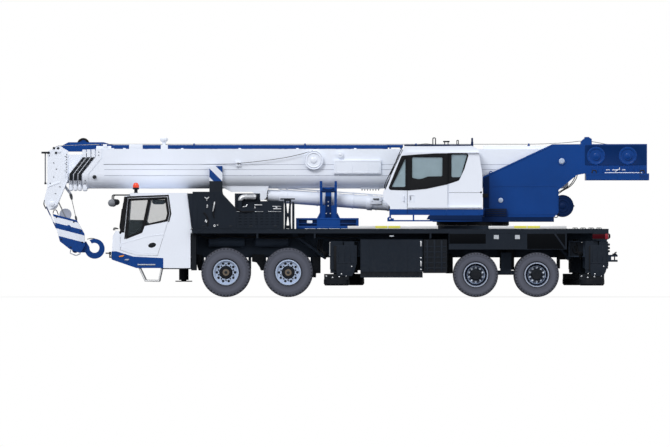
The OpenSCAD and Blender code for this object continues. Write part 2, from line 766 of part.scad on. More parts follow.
module operator_door() {
    color(white) difference() {
        bar(op_door_x, [op_near - 46, op_near - 5], op_door_z);
        slab([[1494, 2670], [1494, 3155], [2198, 3155], [2198, 2646], [1900, 2640], [1700, 2610]],
            [op_near - 60, op_near]);
        bar([1440, 1560], [op_near - 50, op_near - 34], [2150, 2290]);
    }
}

// Boom

// Outline of section k, seen along the boom, shrunk by d
module boom_outline(k, d) {
    w = boom_half - nest_step * k - d;
    top = boom_top - nest_step * k - d;
    translate([0, boom_axis_z]) circle(r = w);
    translate([-w, boom_axis_z]) square([2 * w, top - boom_axis_z]);
}

module boom_run(k, d, x) {
    translate([x[0], 0, 0]) rotate([90, 0, 90]) linear_extrude(x[1] - x[0]) boom_outline(k, d);
}

// Slanted front end of the sections: upright low down, leaning back higher up
function front_line(x, far) = [[x, 2300], [x, 2768], [x + 306, 3150], [x + 306, 3500], [far, 3500], [far, 2300]];
function front_of(k) = boom_front - collar_pitch * k;
function tail_of(k) = boom_rear - 330 - 230 * k;

module cut_front(k) {
    difference() {
        children();
        slab(front_line(front_of(k), front_of(k) - 600), [-500, 500]);
    }
}

module slide_pads(k) {
    x = [tail_of(k) - 160, tail_of(k) - 20];
    w = boom_half - nest_step * k;
    reach = nest_step - boom_wall - pad_gap;
    both() bar(x, [w - 4, w + reach], [2880, 3080]);
    bar(x, [-150, 150], [boom_top - nest_step * k - 4, boom_top - nest_step * k + reach]);
}

module collar(k) {
    x = front_of(k);
    intersection() {
        boom_run(0, 4 * k, [x - 20, x + 500]);
        slab([[x, 2300], [x, 2768], [x + 306, 3150], [x + 306, 3500], [x + 306 + collar_l, 3500],
            [x + 306 + collar_l, 3140], [x + collar_l, 2758], [x + collar_l, 2300]], [-500, 500]);
    }
}

module boom_section(k) {
    color(white) difference() {
        union() {
            cut_front(k) boom_run(k, 0, [front_of(k), tail_of(k)]);
            collar(k);
            slide_pads(k);
        }
        boom_run(k, boom_wall, [front_of(k) - 50, tail_of(k) + 50]);
    }
}

module boom_base() {
    color(white) difference() {
        union() {
            cut_front(0) boom_run(0, 0, [boom_front, boom_rear]);
            intersection() {
                boom_run(0, -14, [boom_front, boom_front + 500]);
                slab([[boom_front, 2300], [boom_front, 2768], [boom_front + 306, 3150], [boom_front + 306, 3500],
                    [boom_front + 440, 3500], [boom_front + 440, 3140], [boom_front + 134, 2758],
                    [boom_front + 134, 2300]], [-500, 500]);
            }
            slab([[-2767, 2560], [-2767, 2470], [-2560, 2365], [-2060, 2365], [-2060, 2560]], [-190, 190]);
            both() slab([[-2100, 2560], [-2100, 2365], [rod_eye_x - 105, rod_eye_z], [rod_eye_x + 105, rod_eye_z],
                [-1700, 2560]], [130, 190]);
            both() across(rod_eye_x, rod_eye_z, 120, [130, 200]);
            both() across(foot_x, foot_z, 150, [boom_half - 40, boom_half + 12]);
            across(-704, 3082, 214, [-boom_half - 80, -boom_half + eps]);
            across(-112, 3206, 70, [-boom_half - 60, -boom_half + eps]);
            bar([-252, 815], [-boom_half - 50, -boom_half + eps], [2775, 3082]);
            bar([-2447, -2367], [-boom_half - 40, -boom_half + eps], [2960, 3040]);
            bar([3120, 4560], [-200, 200], [boom_top - eps, 3400]);
        }
        boom_run(0, boom_wall, [boom_front - 50, boom_rear + 50]);
        both() across(foot_x, foot_z, foot_pin_d / 2 + fit, [boom_half - 100, boom_half + 50]);
    }
}

head_outline = [[-6705, 3276], [-6444, 3400], [-6244, 3296], [-6244, 2633], [-6464, 2093], [-6665, 1949],
    [-6786, 2151], [-6705, 2475]];

module boom_head() {
    k = 4;
    w = boom_half - nest_step * k;
    color(white) union() {
        difference() {
            union() {
                boom_run(k, 0, [-6560, tail_of(k)]);
                slide_pads(k);
            }
            boom_run(k, boom_wall, [-6600, tail_of(k) + 50]);
        }
        both() slab(head_outline, [w - 2, w + 28]);
        bar([-6700, -6660], [-w, w], [2520, 3250]);
        for (y = [-105, -35, 35, 105]) across(head_x, head_z, head_sheave_d / 2, [y - 24, y + 24]);
        across(head_x, head_z, 55, [-w - 40, w + 40]);
        for (y = [-90, 90]) across(-6440, 3240 + 40, 118, [y - 22, y + 22]);
        across(-6440, 3280, 40, [-w - 35, w + 35]);
        bar([-6840, -6650], [-w - 20, -w + 20], [3235, 3265]);
        bar([-6840, -6815], [-w - 20, w + 20], [3235, 3265]);
        bar([-6840, -6650], [w - 20, w + 20], [3235, 3265]);
        bar([-6765, -6735], [-w - 15, -w + 15], [2540, 3240]);
        bar([-6765, -6695], [-w - 15, -w + 15], [2540, 2570]);
    }
}

module fly_jib() {
    x0 = -5287;
    x1 = 968;
    pitch = (x1 - x0) / 8;
    low = 2950;
    high = 3427;
    sides_y = [[480, 540], [700, 760]];
    color(blue) union() {
        for (y = sides_y) {
            bar([x0, x1], y, [high - 90, high]);
            bar([x0, x1], y, [low, low + 60]);
            for (i = [0 : 8])
                bar([x0 + i * pitch - (i == 8 ? 60 : 0), x0 + i * pitch + (i == 8 ? 0 : 60)], y, [low, high]);
            for (i = [0 : 7]) {
                xa = x0 + i * pitch + 30;
                xb = x0 + (i + 1) * pitch;
                slab([[xa, low + 30], [xa + 60, low + 30], [xb, high - 60], [xb - 60, high - 60]],
                    [y[0] + 10, y[1] - 10]);
            }
            slab([[-6440, 3276], [-6440, 3380], [-6240, 3488], [-5445, 3488], [x0 + 60, high], [x0 + 60, low + 40],
                [-5500, 3276]], y);
        }
        for (i = [0 : 2 : 8])
            bar([x0 + i * pitch - (i == 8 ? 60 : 0), x0 + i * pitch + (i == 8 ? 0 : 60)], [480, 760],
                [high - 70, high - 10]);
        for (i = [1 : 2 : 7])
            bar([x0 + i * pitch, x0 + i * pitch + 60], [480, 760], [low, low + 60]);
        across(-5906, 3443, 135, [560, 680]);
        across(-5906, 3443, 40, [500, 740]);
        across(-6380, 3330, 40, [470, 770]);
        for (x = [-4700, -200]) bar([x, x + 120], [boom_half, 500], [3190, 3290]);
        for (x = [-4700, -200]) bar([x, x + 120], [480, 540], [3190, high - 60]);
    }
}

// Lift cylinder

module on_lift_axis() {
    translate([lift_x, 0, lift_z]) rotate([0, lift_tilt, 0]) children();
}

module lift_barrel() {
    end = lift_len - 140;
    color(white) difference() {
        union() {
            across(lift_x, lift_z, 148, [-172, 172]);
            on_lift_axis() {
                translate([0, 0, 60]) cylinder(h = end - 320, r = barrel_d / 2);
                translate([0, 0, end - 261]) cylinder(h = 261, r = barrel_d / 2 - 23);
                translate([0, 0, 420]) cylinder(h = 60, r = barrel_d / 2 + 10);
                translate([0, 0, 1750]) cylinder(h = 40, r = barrel_d / 2 + 8);
            }
        }
        across(lift_x, lift_z, lift_pin_d / 2 + fit, [-300, 300]);
        on_lift_axis() translate([0, 0, 620]) cylinder(h = lift_len, r = lift_rod_d / 2 + fit);
    }
}

module lift_rod() {
    color(silver) {
        on_lift_axis() translate([0, 0, 650]) cylinder(h = lift_len - 650, r = lift_rod_d / 2);
        across(rod_eye_x, rod_eye_z, 112, [-122, 122]);
    }
}

// Hook block

block_outline = [[-6586, 1870], [-6043, 1728], [-5870, 1420], [-5861, 1165], [-5962, 985], [-6200, 1075],
    [-6424, 1250]];
hook_c = [-5641, 1085];

module hook_block() {
    reach = head_sheave_d / 2 + rope_d / 2 + pad_gap;
    color(blue) union() {
        slab(block_outline, [-150, 150]);
        for (y = [-105, 105]) for (d = [-1, 1])
            translate([head_x + d * reach * cos(hang_tilt), y, head_z + d * reach * sin(hang_tilt)])
                rotate([0, 180 - hang_tilt, 0]) cylinder(h = 560, r = rope_d / 2);
        difference() {
            union() {
                across(hook_c[0], hook_c[1], hook_r, [-55, 55]);
                slab([[-6010, 1240], [-5800, 1250], [-5720, 1000], [-5960, 1000]], [-60, 60]);
            }
            across(hook_c[0] - 5, hook_c[1] + 20, throat_r, [-100, 100]);
            slab([[hook_c[0] - 10, hook_c[1] + 30], [hook_c[0] - 110, hook_c[1] + 190],
                [hook_c[0] - 190, hook_c[1] + 160], [hook_c[0] - 100, hook_c[1] + 10]], [-100, 100]);
        }
        across(-6080, 1060, 70, [-80, 80]);
    }
}

// Every node, drawn alone or together

chassis_frame();
deck();
engine();
engine_hood();
cab_shell();
cab_glass();
cab_interior();
front_bumper();
lamps();
mirrors();
boom_supports();
side_boxes();
axles();
front_jack();
knuckle(axle_1_x, -1);  // knuckle_1_left
knuckle(axle_1_x, 1);  // knuckle_1_right
knuckle(axle_2_x, -1);  // knuckle_2_left
knuckle(axle_2_x, 1);  // knuckle_2_right
tyre_front(axle_1_x, -1);  // tyre_1_left
tyre_front(axle_1_x, 1);  // tyre_1_right
tyre_front(axle_2_x, -1);  // tyre_2_left
tyre_front(axle_2_x, 1);  // tyre_2_right
tyre_rear(axle_3_x, -1);  // tyre_3_left
tyre_rear(axle_3_x, 1);  // tyre_3_right
tyre_rear(axle_4_x, -1);  // tyre_4_left
tyre_rear(axle_4_x, 1);  // tyre_4_right
rim_front(axle_1_x, -1);  // rim_1_left
rim_front(axle_1_x, 1);  // rim_1_right
rim_front(axle_2_x, -1);  // rim_2_left
rim_front(axle_2_x, 1);  // rim_2_right
rim_rear(axle_3_x, -1);  // rim_3_left
rim_rear(axle_3_x, 1);  // rim_3_right
rim_rear(axle_4_x, -1);  // rim_4_left
rim_rear(axle_4_x, 1);  // rim_4_right
outrigger_beam(front_left_x, -1);  // beam_front_left
outrigger_beam(front_right_x, 1);  // beam_front_right
outrigger_beam(rear_left_x, -1);  // beam_rear_left
outrigger_beam(rear_right_x, 1);  // beam_rear_right
outrigger_jack(front_left_x, -1);  // jack_front_left
outrigger_jack(front_right_x, 1);  // jack_front_right
outrigger_jack(rear_left_x, -1);  // jack_rear_left
outrigger_jack(rear_right_x, 1);  // jack_rear_right
cab_door(-1);  // door_left
cab_door(1);  // door_right
turntable();
counterweight();
winches();
operator_cab();
operator_glass();
operator_seat();
operator_door();
boom_base();
boom_section(1);  // boom_2
boom_section(2);  // boom_3
boom_section(3);  // boom_4
boom_head();
fly_jib();
lift_barrel();
lift_rod();
hook_block();
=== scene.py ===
"""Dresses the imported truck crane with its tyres, glass, trim, ropes and finishes.

Sizes in this file are in millimetres, as in the part's source, and reach Blender in metres.
"""

import math

import bmesh
import bpy
from bpy.props import FloatProperty, FloatVectorProperty, IntProperty, PointerProperty
from bpy.types import Operator, Panel, PropertyGroup
from mathutils import Matrix, Vector


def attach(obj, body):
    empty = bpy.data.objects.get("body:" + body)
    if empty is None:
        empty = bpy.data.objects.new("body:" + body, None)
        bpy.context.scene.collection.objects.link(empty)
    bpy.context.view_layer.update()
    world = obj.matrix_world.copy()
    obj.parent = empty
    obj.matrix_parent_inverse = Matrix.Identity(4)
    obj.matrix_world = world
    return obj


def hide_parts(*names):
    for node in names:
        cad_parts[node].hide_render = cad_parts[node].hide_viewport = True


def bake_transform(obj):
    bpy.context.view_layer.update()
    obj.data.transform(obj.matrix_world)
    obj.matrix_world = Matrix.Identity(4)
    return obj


bl_info = {
    "name": "Truck Crane Dressing",
    "version": (1, 0, 0),
    "blender": (4, 5, 0),
    "location": "View3D > Sidebar > Truck Crane",
    "description": "Tyres, glazing, trim, ropes and finishes for the packed truck crane",
    "category": "Object",
}

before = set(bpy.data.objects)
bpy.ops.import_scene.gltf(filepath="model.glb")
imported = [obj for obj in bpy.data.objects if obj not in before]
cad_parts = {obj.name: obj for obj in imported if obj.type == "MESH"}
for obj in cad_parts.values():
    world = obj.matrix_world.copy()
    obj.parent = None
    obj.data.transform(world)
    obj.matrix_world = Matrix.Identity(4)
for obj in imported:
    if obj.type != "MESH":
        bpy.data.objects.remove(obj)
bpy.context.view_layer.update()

LEFT, RIGHT = -1, 1
SIDES = ((LEFT, "left"), (RIGHT, "right"))
FRONT_AXLES = ((1, -2675.0), (2, -1276.0))
REAR_AXLES = ((3, 2939.0), (4, 4307.0))
FRONT_TYRE_R = 555.0
REAR_TYRE_R = 502.5

# Jacks: end, sign and name of the side, place along the crane, reach of the box round the jack
JACKS = (
    ("front", LEFT, "left", -190.0, (-3.0, 454.0)),
    ("front", RIGHT, "right", 150.0, (-400.0, 10.0)),
    ("rear", LEFT, "left", 5543.0, (-32.0, 370.0)),
    ("rear", RIGHT, "right", 5203.0, (-32.0, 370.0)),
)

# Upper works: the boom's foot pin, the winch drums and the lift cylinder's two pins
BOOM_FOOT = (4880.0, 3058.0)
WINCH_X = (5652.0, 6368.0)
WINCH_Z = 3175.0
LIFT_FOOT = Vector((2475.0, 0.0, 1990.0))
LIFT_EYE = Vector((-1880.0, 0.0, 2300.0))

# Boom: its sections and their collars, the head's sheaves and the rope along the top
SECTIONS = ((1, "boom_2"), (2, "boom_3"), (3, "boom_4"))
STROKE = 7900.0
COLLAR_X = -5918.0
COLLAR_PITCH = 100.0
COLLAR_BEND_Z = 2768.0
COLLAR_LEAN = 306 / 382
HEAD_SHEAVE = (-6440.0, 3280.0)
LOWER_SHEAVE = (-6600.0, 2100.0)
ROPE_Y = -90.0
ROPE_Z = 3440.0

# Slope of the bands on the hook block
BLOCK_LEAN = 0.2586

# Metres in a millimetre, and millimetres in a metre
MM = 0.001
PER_M = 1000.0

# Distances in metres within which the points of a turned shape and of a curve's solid are merged
TURNED_MERGE = 2e-5
CURVE_MERGE = 2e-6


def srgb(red, green, blue):
    """Linear colour of an eight-bit screen colour."""
    return tuple(
        (c / 255 / 12.92) if c <= 10 else ((c / 255 + 0.055) / 1.055) ** 2.4 for c in (red, green, blue)
    )


def vec(x, y, z):
    """A place given in millimetres."""
    return Vector((x, y, z)) * MM


# Shapes


def mark(faces, mat):
    """Gives faces a material index and smooth shading."""
    for face in faces:
        face.material_index = mat
        face.smooth = True


def once(parts):
    """Parts of a mesh without repeats, in the order they come in."""
    return list(dict.fromkeys(parts))


def block(bm, x, y, z, edge=4.0, mat=0, segments=2):
    """A box between three ranges, with rounded edges."""
    before = set(bm.faces)
    made = bmesh.ops.create_cube(bm, size=1.0)["verts"]
    spans = [(max(r) - min(r)) * MM for r in (x, y, z)]
    bmesh.ops.scale(bm, vec=spans, verts=made)
    bmesh.ops.translate(bm, vec=vec(sum(x) / 2, sum(y) / 2, sum(z) / 2), verts=made)
    if edge:
        edges = once(e for v in made for e in v.link_edges)
        bmesh.ops.bevel(bm, geom=edges, offset=min(edge * MM, min(spans) * 0.45), offset_type="OFFSET",
                        segments=segments, profile=0.5, affect="EDGES", clamp_overlap=True, material=-1)
    mark([f for f in bm.faces if f not in before], mat)


def lathe(bm, profile, centre, axis, steps=32, mat=0, closed=False):
    """A turned shape: radius and distance along the axis for each point of its profile."""
    before = set(bm.faces)
    axis = Vector(axis).normalized()
    side = axis.orthogonal().normalized()
    verts = [bm.verts.new(centre + side * (r * MM) + axis * (t * MM)) for r, t in profile]
    edges = [bm.edges.new(pair) for pair in zip(verts, verts[1:])]
    if closed:
        edges.append(bm.edges.new((verts[-1], verts[0])))
    bmesh.ops.spin(bm, geom=verts + edges, cent=centre, axis=axis, dvec=(0, 0, 0), angle=math.tau,
                   steps=steps, use_merge=True, use_duplicate=False)
    faces = [f for f in bm.faces if f not in before]
    bmesh.ops.remove_doubles(bm, verts=once(v for f in faces for v in f.verts), dist=TURNED_MERGE)
    faces = [f for f in bm.faces if f not in before]
    bmesh.ops.recalc_face_normals(bm, faces=faces)
    mark(faces, mat)
    return faces


def peg(bm, centre, axis, radius, length, sides=16, edge=1.5, mat=0):
    """A pin, nut or boss standing from centre along the axis."""
    before = set(bm.faces)
    axis = Vector(axis).normalized()
    turn = axis.to_track_quat("Z", "Y").to_matrix().to_4x4()
    place = Matrix.Translation(centre + axis * (length * MM / 2)) @ turn
    made = bmesh.ops.create_cone(bm, cap_ends=True, cap_tris=False, segments=sides, radius1=radius * MM,
                                 radius2=radius * MM, depth=length * MM, matrix=place)["verts"]
    if edge:
        edges = once(e for v in made for e in v.link_edges)
        rims = [e for e in edges if any(len(f.verts) > 4 for f in e.link_faces)]
        bmesh.ops.bevel(bm, geom=rims, offset=edge * MM, offset_type="OFFSET", segments=2, profile=0.5,
                        affect="EDGES", clamp_overlap=True, material=-1)
    mark([f for f in bm.faces if f not in before], mat)


def dome(bm, centre, radii, mat=0, rings=12):
    """A rounded boss with three radii."""
    before = set(bm.faces)
    made = bmesh.ops.create_uvsphere(bm, u_segments=rings * 2, v_segments=rings, radius=MM)["verts"]
    bmesh.ops.scale(bm, vec=radii, verts=made)
    bmesh.ops.translate(bm, vec=centre, verts=made)
    mark([f for f in bm.faces if f not in before], mat)


def rounded(points, radius, steps=4):
    """An outline with its corners rounded."""
    out = []
    count = len(points)
    for i, corner in enumerate(points):
        here = Vector(corner)
        back = Vector(points[i - 1]) - here
        on = Vector(points[(i + 1) % count]) - here
        reach = min(radius, back.length * 0.45, on.length * 0.45)
        a = here + back.normalized() * reach
        b = here + on.normalized() * reach
        for k in range(steps + 1):
            t = k / steps
            out.append(tuple(a * (1 - t) ** 2 + here * (2 * t * (1 - t)) + b * t ** 2))
    return out


def grown(points, by):
    """An outline moved outwards by a distance, corner by corner."""
    count = len(points)
    area = sum(points[i - 1][0] * points[i][1] - points[i][0] * points[i - 1][1] for i in range(count))
    sign = 1 if area > 0 else -1
    out = []
    for i in range(count):
        here = Vector(points[i])
        back = (here - Vector(points[i - 1])).normalized()
        on = (Vector(points[(i + 1) % count]) - here).normalized()
        n1 = Vector((back.y, -back.x)) * sign
        n2 = Vector((on.y, -on.x)) * sign
        mid = (n1 + n2).normalized()
        out.append(tuple(here + mid * (by / max(0.35, mid.dot(n1)))))
    return out


def from_curve(bm, curve, place, mat):
    """Adds a curve's solid to a bmesh, turned and moved by a matrix."""
    holder = bpy.data.objects.new("shape", curve)
    mesh = bpy.data.meshes.new_from_object(holder)
    bpy.data.objects.remove(holder)
    bpy.data.curves.remove(curve)
    mesh.transform(place)
    before = set(bm.faces)
    bm.from_mesh(mesh)
    bpy.data.meshes.remove(mesh)
    faces = [f for f in bm.faces if f not in before]
    bmesh.ops.remove_doubles(bm, verts=once(v for f in faces for v in f.verts), dist=CURVE_MERGE)
    faces = [f for f in bm.faces if f not in before]
    bmesh.ops.recalc_face_normals(bm, faces=faces)
    mark(faces, mat)


def sheet(bm, loops, y, edge=1.5, mat=0, plane="XZ", at=None):
    """A flat plate with holes: the first loop is its edge, y gives its two faces.

    It stands along the crane, or across it where the plane is YZ, and is moved by the matrix at.
    """
    thick = abs(y[1] - y[0])
    edge = min(edge, thick * 0.45)
    curve = bpy.data.curves.new("sheet", "CURVE")
    curve.dimensions = "2D"
    curve.fill_mode = "BOTH"
    curve.extrude = (thick / 2 - edge) * MM
    curve.bevel_depth = edge * MM
    curve.bevel_resolution = 1
    curve.offset = -edge * MM
    for loop in loops:
        spline = curve.splines.new("POLY")
        spline.points.add(len(loop) - 1)
        for point, (across, up) in zip(spline.points, loop):
            point.co = (across * MM, up * MM, 0, 1)
        spline.use_cyclic_u = True
    mid = sum(y) / 2
    upright = Matrix.Rotation(math.pi / 2, 4, "X")
    if plane == "XZ":
        place = Matrix.Translation(vec(0, mid, 0)) @ upright
    else:
        place = Matrix.Translation(vec(mid, 0, 0)) @ Matrix.Rotation(math.pi / 2, 4, "Z") @ upright
    if at is not None:
        place = at @ place
    from_curve(bm, curve, place, mat)


def tube(bm, points, radius, mat=0, smooth=True, ring=3):
    """A pipe, rail or hose through points in millimetres."""
    curve = bpy.data.curves.new("tube", "CURVE")
    curve.dimensions = "3D"
    curve.fill_mode = "FULL"
    curve.bevel_depth = radius * MM
    curve.bevel_resolution = ring
    curve.use_fill_caps = True
    curve.resolution_u = 6
    if smooth:
        spline = curve.splines.new("BEZIER")
        spline.bezier_points.add(len(points) - 1)
        for knot, point in zip(spline.bezier_points, points):
            knot.co = vec(*point)
            knot.handle_left_type = knot.handle_right_type = "AUTO"
    else:
        spline = curve.splines.new("POLY")
        spline.points.add(len(points) - 1)
        for knot, point in zip(spline.points, points):
            knot.co = (*vec(*point), 1)
    from_curve(bm, curve, Matrix.Identity(4), mat)


def soft_corners(points, radius, steps=5):
    """Points of a bent rail: straight runs with rounded bends."""
    out = [points[0]]
    for before, here, after in zip(points, points[1:], points[2:]):
        a, h, b = Vector(before), Vector(here), Vector(after)
        reach = min(radius, (a - h).length * 0.45, (b - h).length * 0.45)
        p = h + (a - h).normalized() * reach
        q = h + (b - h).normalized() * reach
        for k in range(steps + 1):
            t = k / steps
            out.append(tuple(p * (1 - t) ** 2 + h * (2 * t * (1 - t)) + q * t ** 2))
    out.append(points[-1])
    return out


def rail(bm, points, bend, radius, mat=0):
    """A rail of straight runs with rounded bends."""
    tube(bm, soft_corners(points, bend), radius, mat=mat, smooth=False)


def around(count, radius, turn=0.0):
    """Places round a circle, each as two distances from its centre."""
    angles = [math.radians(turn) + math.tau * i / count for i in range(count)]
    return [(radius * math.cos(a), radius * math.sin(a)) for a in angles]


def piece(name, bm, finishes, body, sharp=32.0, replaces=()):
    """Makes a bmesh an object at the origin that rides on a body, or stays fixed where two bodies are given.
    """
    mesh = bpy.data.meshes.new(name)
    bm.to_mesh(mesh)
    bm.free()
    mesh.set_sharp_from_angle(angle=math.radians(sharp))
    obj = bpy.data.objects.new(name, mesh)
    bpy.context.scene.collection.objects.link(obj)
    for finish in finishes:
        mesh.materials.append(FINISHES[finish])
    if isinstance(body, str):
        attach(obj, body)
    else:
        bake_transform(obj)
    if replaces:
        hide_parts(*replaces)
    return obj


# Finishes

FINISHES = {}


class Nodes:
    """Short names for a material's nodes."""

    def __init__(self, name):
        self.material = bpy.data.materials.new(name)
        self.material.use_nodes = True
        self.tree = self.material.node_tree
        self.tree.nodes.clear()
        self.out = self.tree.nodes.new("ShaderNodeOutputMaterial")
        self.shader = self.tree.nodes.new("ShaderNodeBsdfPrincipled")
        self.link(self.shader.outputs[0], self.out.inputs[0])
        self.coord = self.tree.nodes.new("ShaderNodeTexCoord").outputs["Object"]

    def link(self, a, b):
        """Joins an output to an input."""
        self.tree.links.new(a, b)

    def place(self, scale):
        """Object coordinates, stretched."""
        node = self.tree.nodes.new("ShaderNodeMapping")
        node.inputs["Scale"].default_value = scale
        self.link(self.coord, node.inputs["Vector"])
        return node.outputs[0]

    def noise(self, scale, detail=3.0, rough=0.5, at=None):
        """Strength of a noise pattern."""
        node = self.tree.nodes.new("ShaderNodeTexNoise")
        node.inputs["Scale"].default_value = scale
        node.inputs["Detail"].default_value = detail
        node.inputs["Roughness"].default_value = rough
        self.link(at or self.coord, node.inputs["Vector"])
        return node.outputs["Fac"]

    def axis(self, name):
        """One of the object coordinates."""
        node = self.tree.nodes.new("ShaderNodeSeparateXYZ")
        self.link(self.coord, node.inputs[0])
        return node.outputs[name]

    def remap(self, value, low, high, to_low=0.0, to_high=1.0):
        """A value moved to another range."""
        node = self.tree.nodes.new("ShaderNodeMapRange")
        for socket, number in zip(node.inputs[1:5], (low, high, to_low, to_high)):
            socket.default_value = number
        self.link(value, node.inputs[0])
        return node.outputs[0]

    def calc(self, operation, a, b):
        """A sum, product or other calculation on two values."""
        node = self.tree.nodes.new("ShaderNodeMath")
        node.operation = operation
        for socket, value in zip(node.inputs, (a, b)):
            if isinstance(value, (int, float)):
                socket.default_value = value
            else:
                self.link(value, socket)
        return node.outputs[0]

    def ramp(self, value, stops, sharp=False):
        """A colour for each value, blended or in steps."""
        node = self.tree.nodes.new("ShaderNodeValToRGB")
        node.color_ramp.interpolation = "CONSTANT" if sharp else "LINEAR"
        marks = node.color_ramp.elements
        while len(marks) < len(stops):
            marks.new(0.5)
        for mark_, (place, colour) in zip(marks, stops):
            mark_.position = place
            mark_.color = (*colour, 1.0)
        self.link(value, node.inputs[0])
        return node.outputs[0]

    def mix(self, factor, a, b):
        """Two colours mixed by a factor."""
        node = self.tree.nodes.new("ShaderNodeMix")
        node.data_type = "RGBA"
        for socket, value in zip((node.inputs[0], node.inputs[6], node.inputs[7]), (factor, a, b)):
            if isinstance(value, tuple):
                socket.default_value = (*value, 1.0)
            else:
                self.link(value, socket)
        return node.outputs[2]

    def bump(self, height, strength, millimetres):
        """Relief of the surface."""
        node = self.tree.nodes.new("ShaderNodeBump")
        node.inputs["Strength"].default_value = strength
        node.inputs["Distance"].default_value = millimetres * MM
        self.link(height, node.inputs["Height"])
        self.link(node.outputs[0], self.shader.inputs["Normal"])


def shade(colour, by):
    """A colour made lighter or darker."""
    return tuple(min(1.0, c * by) for c in colour)


def surface(name, colour, dark=0.9, light=1.04, rough=(0.3, 0.42), metallic=0.0, coat=0.0, grain=260.0,
            bump=0.08, depth=0.4, dust=0.05, dust_top=1.4, streak=0.03, dust_colour=(0.2, 0.19, 0.18),
            spec=0.15, pattern=None):
    """A worn coat on metal, plastic or rubber: tone, dust low down, streaks, gloss and grain."""
    n = Nodes(name)
    broad = n.noise(1.1, 3.0)
    middle = n.noise(13.0, 6.0, 0.65)
    if pattern is None:
        base = n.ramp(broad, ((0.28, shade(colour, dark)), (0.72, shade(colour, light))))
    else:
        tone = n.remap(broad, 0.3, 0.7, 0.0, 0.12)
        base = n.mix(tone, pattern(n), (0.05, 0.06, 0.08))
    if streak:
        runs = n.noise(7.0, 4.0, 0.6, n.place(scale=(3.0, 3.0, 0.25)))
        base = n.mix(n.remap(runs, 0.55, 0.8, 0.0, streak), base, dust_colour)
    if dust:
        low = n.remap(n.axis("Z"), 0.25, dust_top, 1.0, 0.12)
        patchy = n.remap(middle, 0.42, 0.78, 0.0, dust)
        base = n.mix(n.calc("MULTIPLY", low, patchy), base, dust_colour)
    n.link(base, n.shader.inputs["Base Color"])
    n.link(n.remap(middle, 0.3, 0.7, rough[0], rough[1]), n.shader.inputs["Roughness"])
    n.shader.inputs["Metallic"].default_value = metallic
    n.shader.inputs["Specular IOR Level"].default_value = spec
    n.shader.inputs["Coat Weight"].default_value = coat
    n.shader.inputs["Coat Roughness"].default_value = 0.12
    n.bump(n.noise(grain, 3.0), bump, depth)
    FINISHES[name] = n.material


def glass_surface(name, tint, cover):
    """Thin tinted glass with faint dust, clear but for its cover."""
    n = Nodes(name)
    film = n.noise(5.0, 5.0, 0.6)
    n.link(n.ramp(film, ((0.3, shade(tint, 0.94)), (0.75, shade(tint, 1.06)))),
           n.shader.inputs["Base Color"])
    n.link(n.remap(film, 0.35, 0.8, 0.02, 0.08), n.shader.inputs["Roughness"])
    n.shader.inputs["Alpha"].default_value = cover
    n.shader.inputs["Specular IOR Level"].default_value = 0.3
    n.bump(n.noise(2.0, 2.0), 0.03, 1.0)
    FINISHES[name] = n.material


def lens_surface(name, colour, glow=0.0):
    """Ribbed lamp lens."""
    n = Nodes(name)
    film = n.noise(30.0, 4.0)
    n.link(n.ramp(film, ((0.3, shade(colour, 0.82)), (0.7, shade(colour, 1.1)))),
           n.shader.inputs["Base Color"])
    n.link(n.remap(film, 0.3, 0.7, 0.12, 0.25), n.shader.inputs["Roughness"])
    n.shader.inputs["Coat Weight"].default_value = 0.2
    if glow:
        n.shader.inputs["Emission Color"].default_value = (*colour, 1.0)
        n.shader.inputs["Emission Strength"].default_value = glow
    wave = n.tree.nodes.new("ShaderNodeTexWave")
    wave.bands_direction = "Z"
    wave.inputs["Scale"].default_value = 40.0
    n.link(n.coord, wave.inputs["Vector"])
    n.bump(wave.outputs["Fac"], 0.25, 1.0)
    FINISHES[name] = n.material


def make_paints(white, blue, slate, black):
    """Paints, plastics and trim rubber."""
    surface("white_paint", white, dark=0.975, light=1.01, rough=(0.3, 0.4), coat=0.15, grain=180.0,
            bump=0.05, spec=0.3)
    surface("blue_paint", blue, dark=0.9, light=1.06, rough=(0.3, 0.42), coat=0.08, bump=0.05, dust=0.02,
            streak=0.01)
    # Dark navy paint; along the platform edge of the upper works it is painted shade
    surface("navy_paint_and_shade", shade(blue, 0.3), rough=(0.4, 0.55), bump=0.06, dust=0.02, streak=0.01, spec=0.1)
    # Darker blue for plates over the winch zone: painted shade
    surface("winch_blue_painted_shade", shade(blue, 0.5), rough=(0.35, 0.5), bump=0.06, dust=0.02, streak=0.01, spec=0.1)
    # Slate lightened 3.2 times for the frame, axles and air tanks: painted light that makes up for the shade
    # under the deck
    surface("chassis_slate_painted_light", shade(slate, 3.2), dark=0.8, light=1.2, rough=(0.5, 0.65), bump=0.1, dust=0.05,
            streak=0.02, spec=0.1)
    # Grey for the hook's sheaves, and for thin lines along the boom's creases as painted shade
    surface("grey_metal_and_crease_shade", srgb(160, 166, 182), rough=(0.5, 0.6), dust=0.02)
    surface("slate_paint", slate, dark=0.85, light=1.1, rough=(0.45, 0.6), dust=0.05, streak=0.02, spec=0.1)
    surface("black_paint", black, dark=0.8, light=1.2, rough=(0.45, 0.6), bump=0.1, dust=0.05,
            streak=0.02, spec=0.1)
    # Near-black for flat plates laid where the side boxes have recesses: painted shade
    surface("recess_painted_shade", shade(black, 0.3), rough=(0.6, 0.75), bump=0.1, dust=0.0, streak=0.0, spec=0.04)
    surface("black_plastic", shade(black, 1.15), rough=(0.5, 0.65), grain=700.0, bump=0.2,
            depth=0.3, dust=0.03)
    surface("grey_plastic", srgb(120, 124, 132), rough=(0.4, 0.55), grain=600.0, bump=0.15, spec=0.3)
    surface("rubber", srgb(26, 27, 30), rough=(0.6, 0.8), grain=500.0, bump=0.2, dust=0.04,
            streak=0.0, spec=0.1)


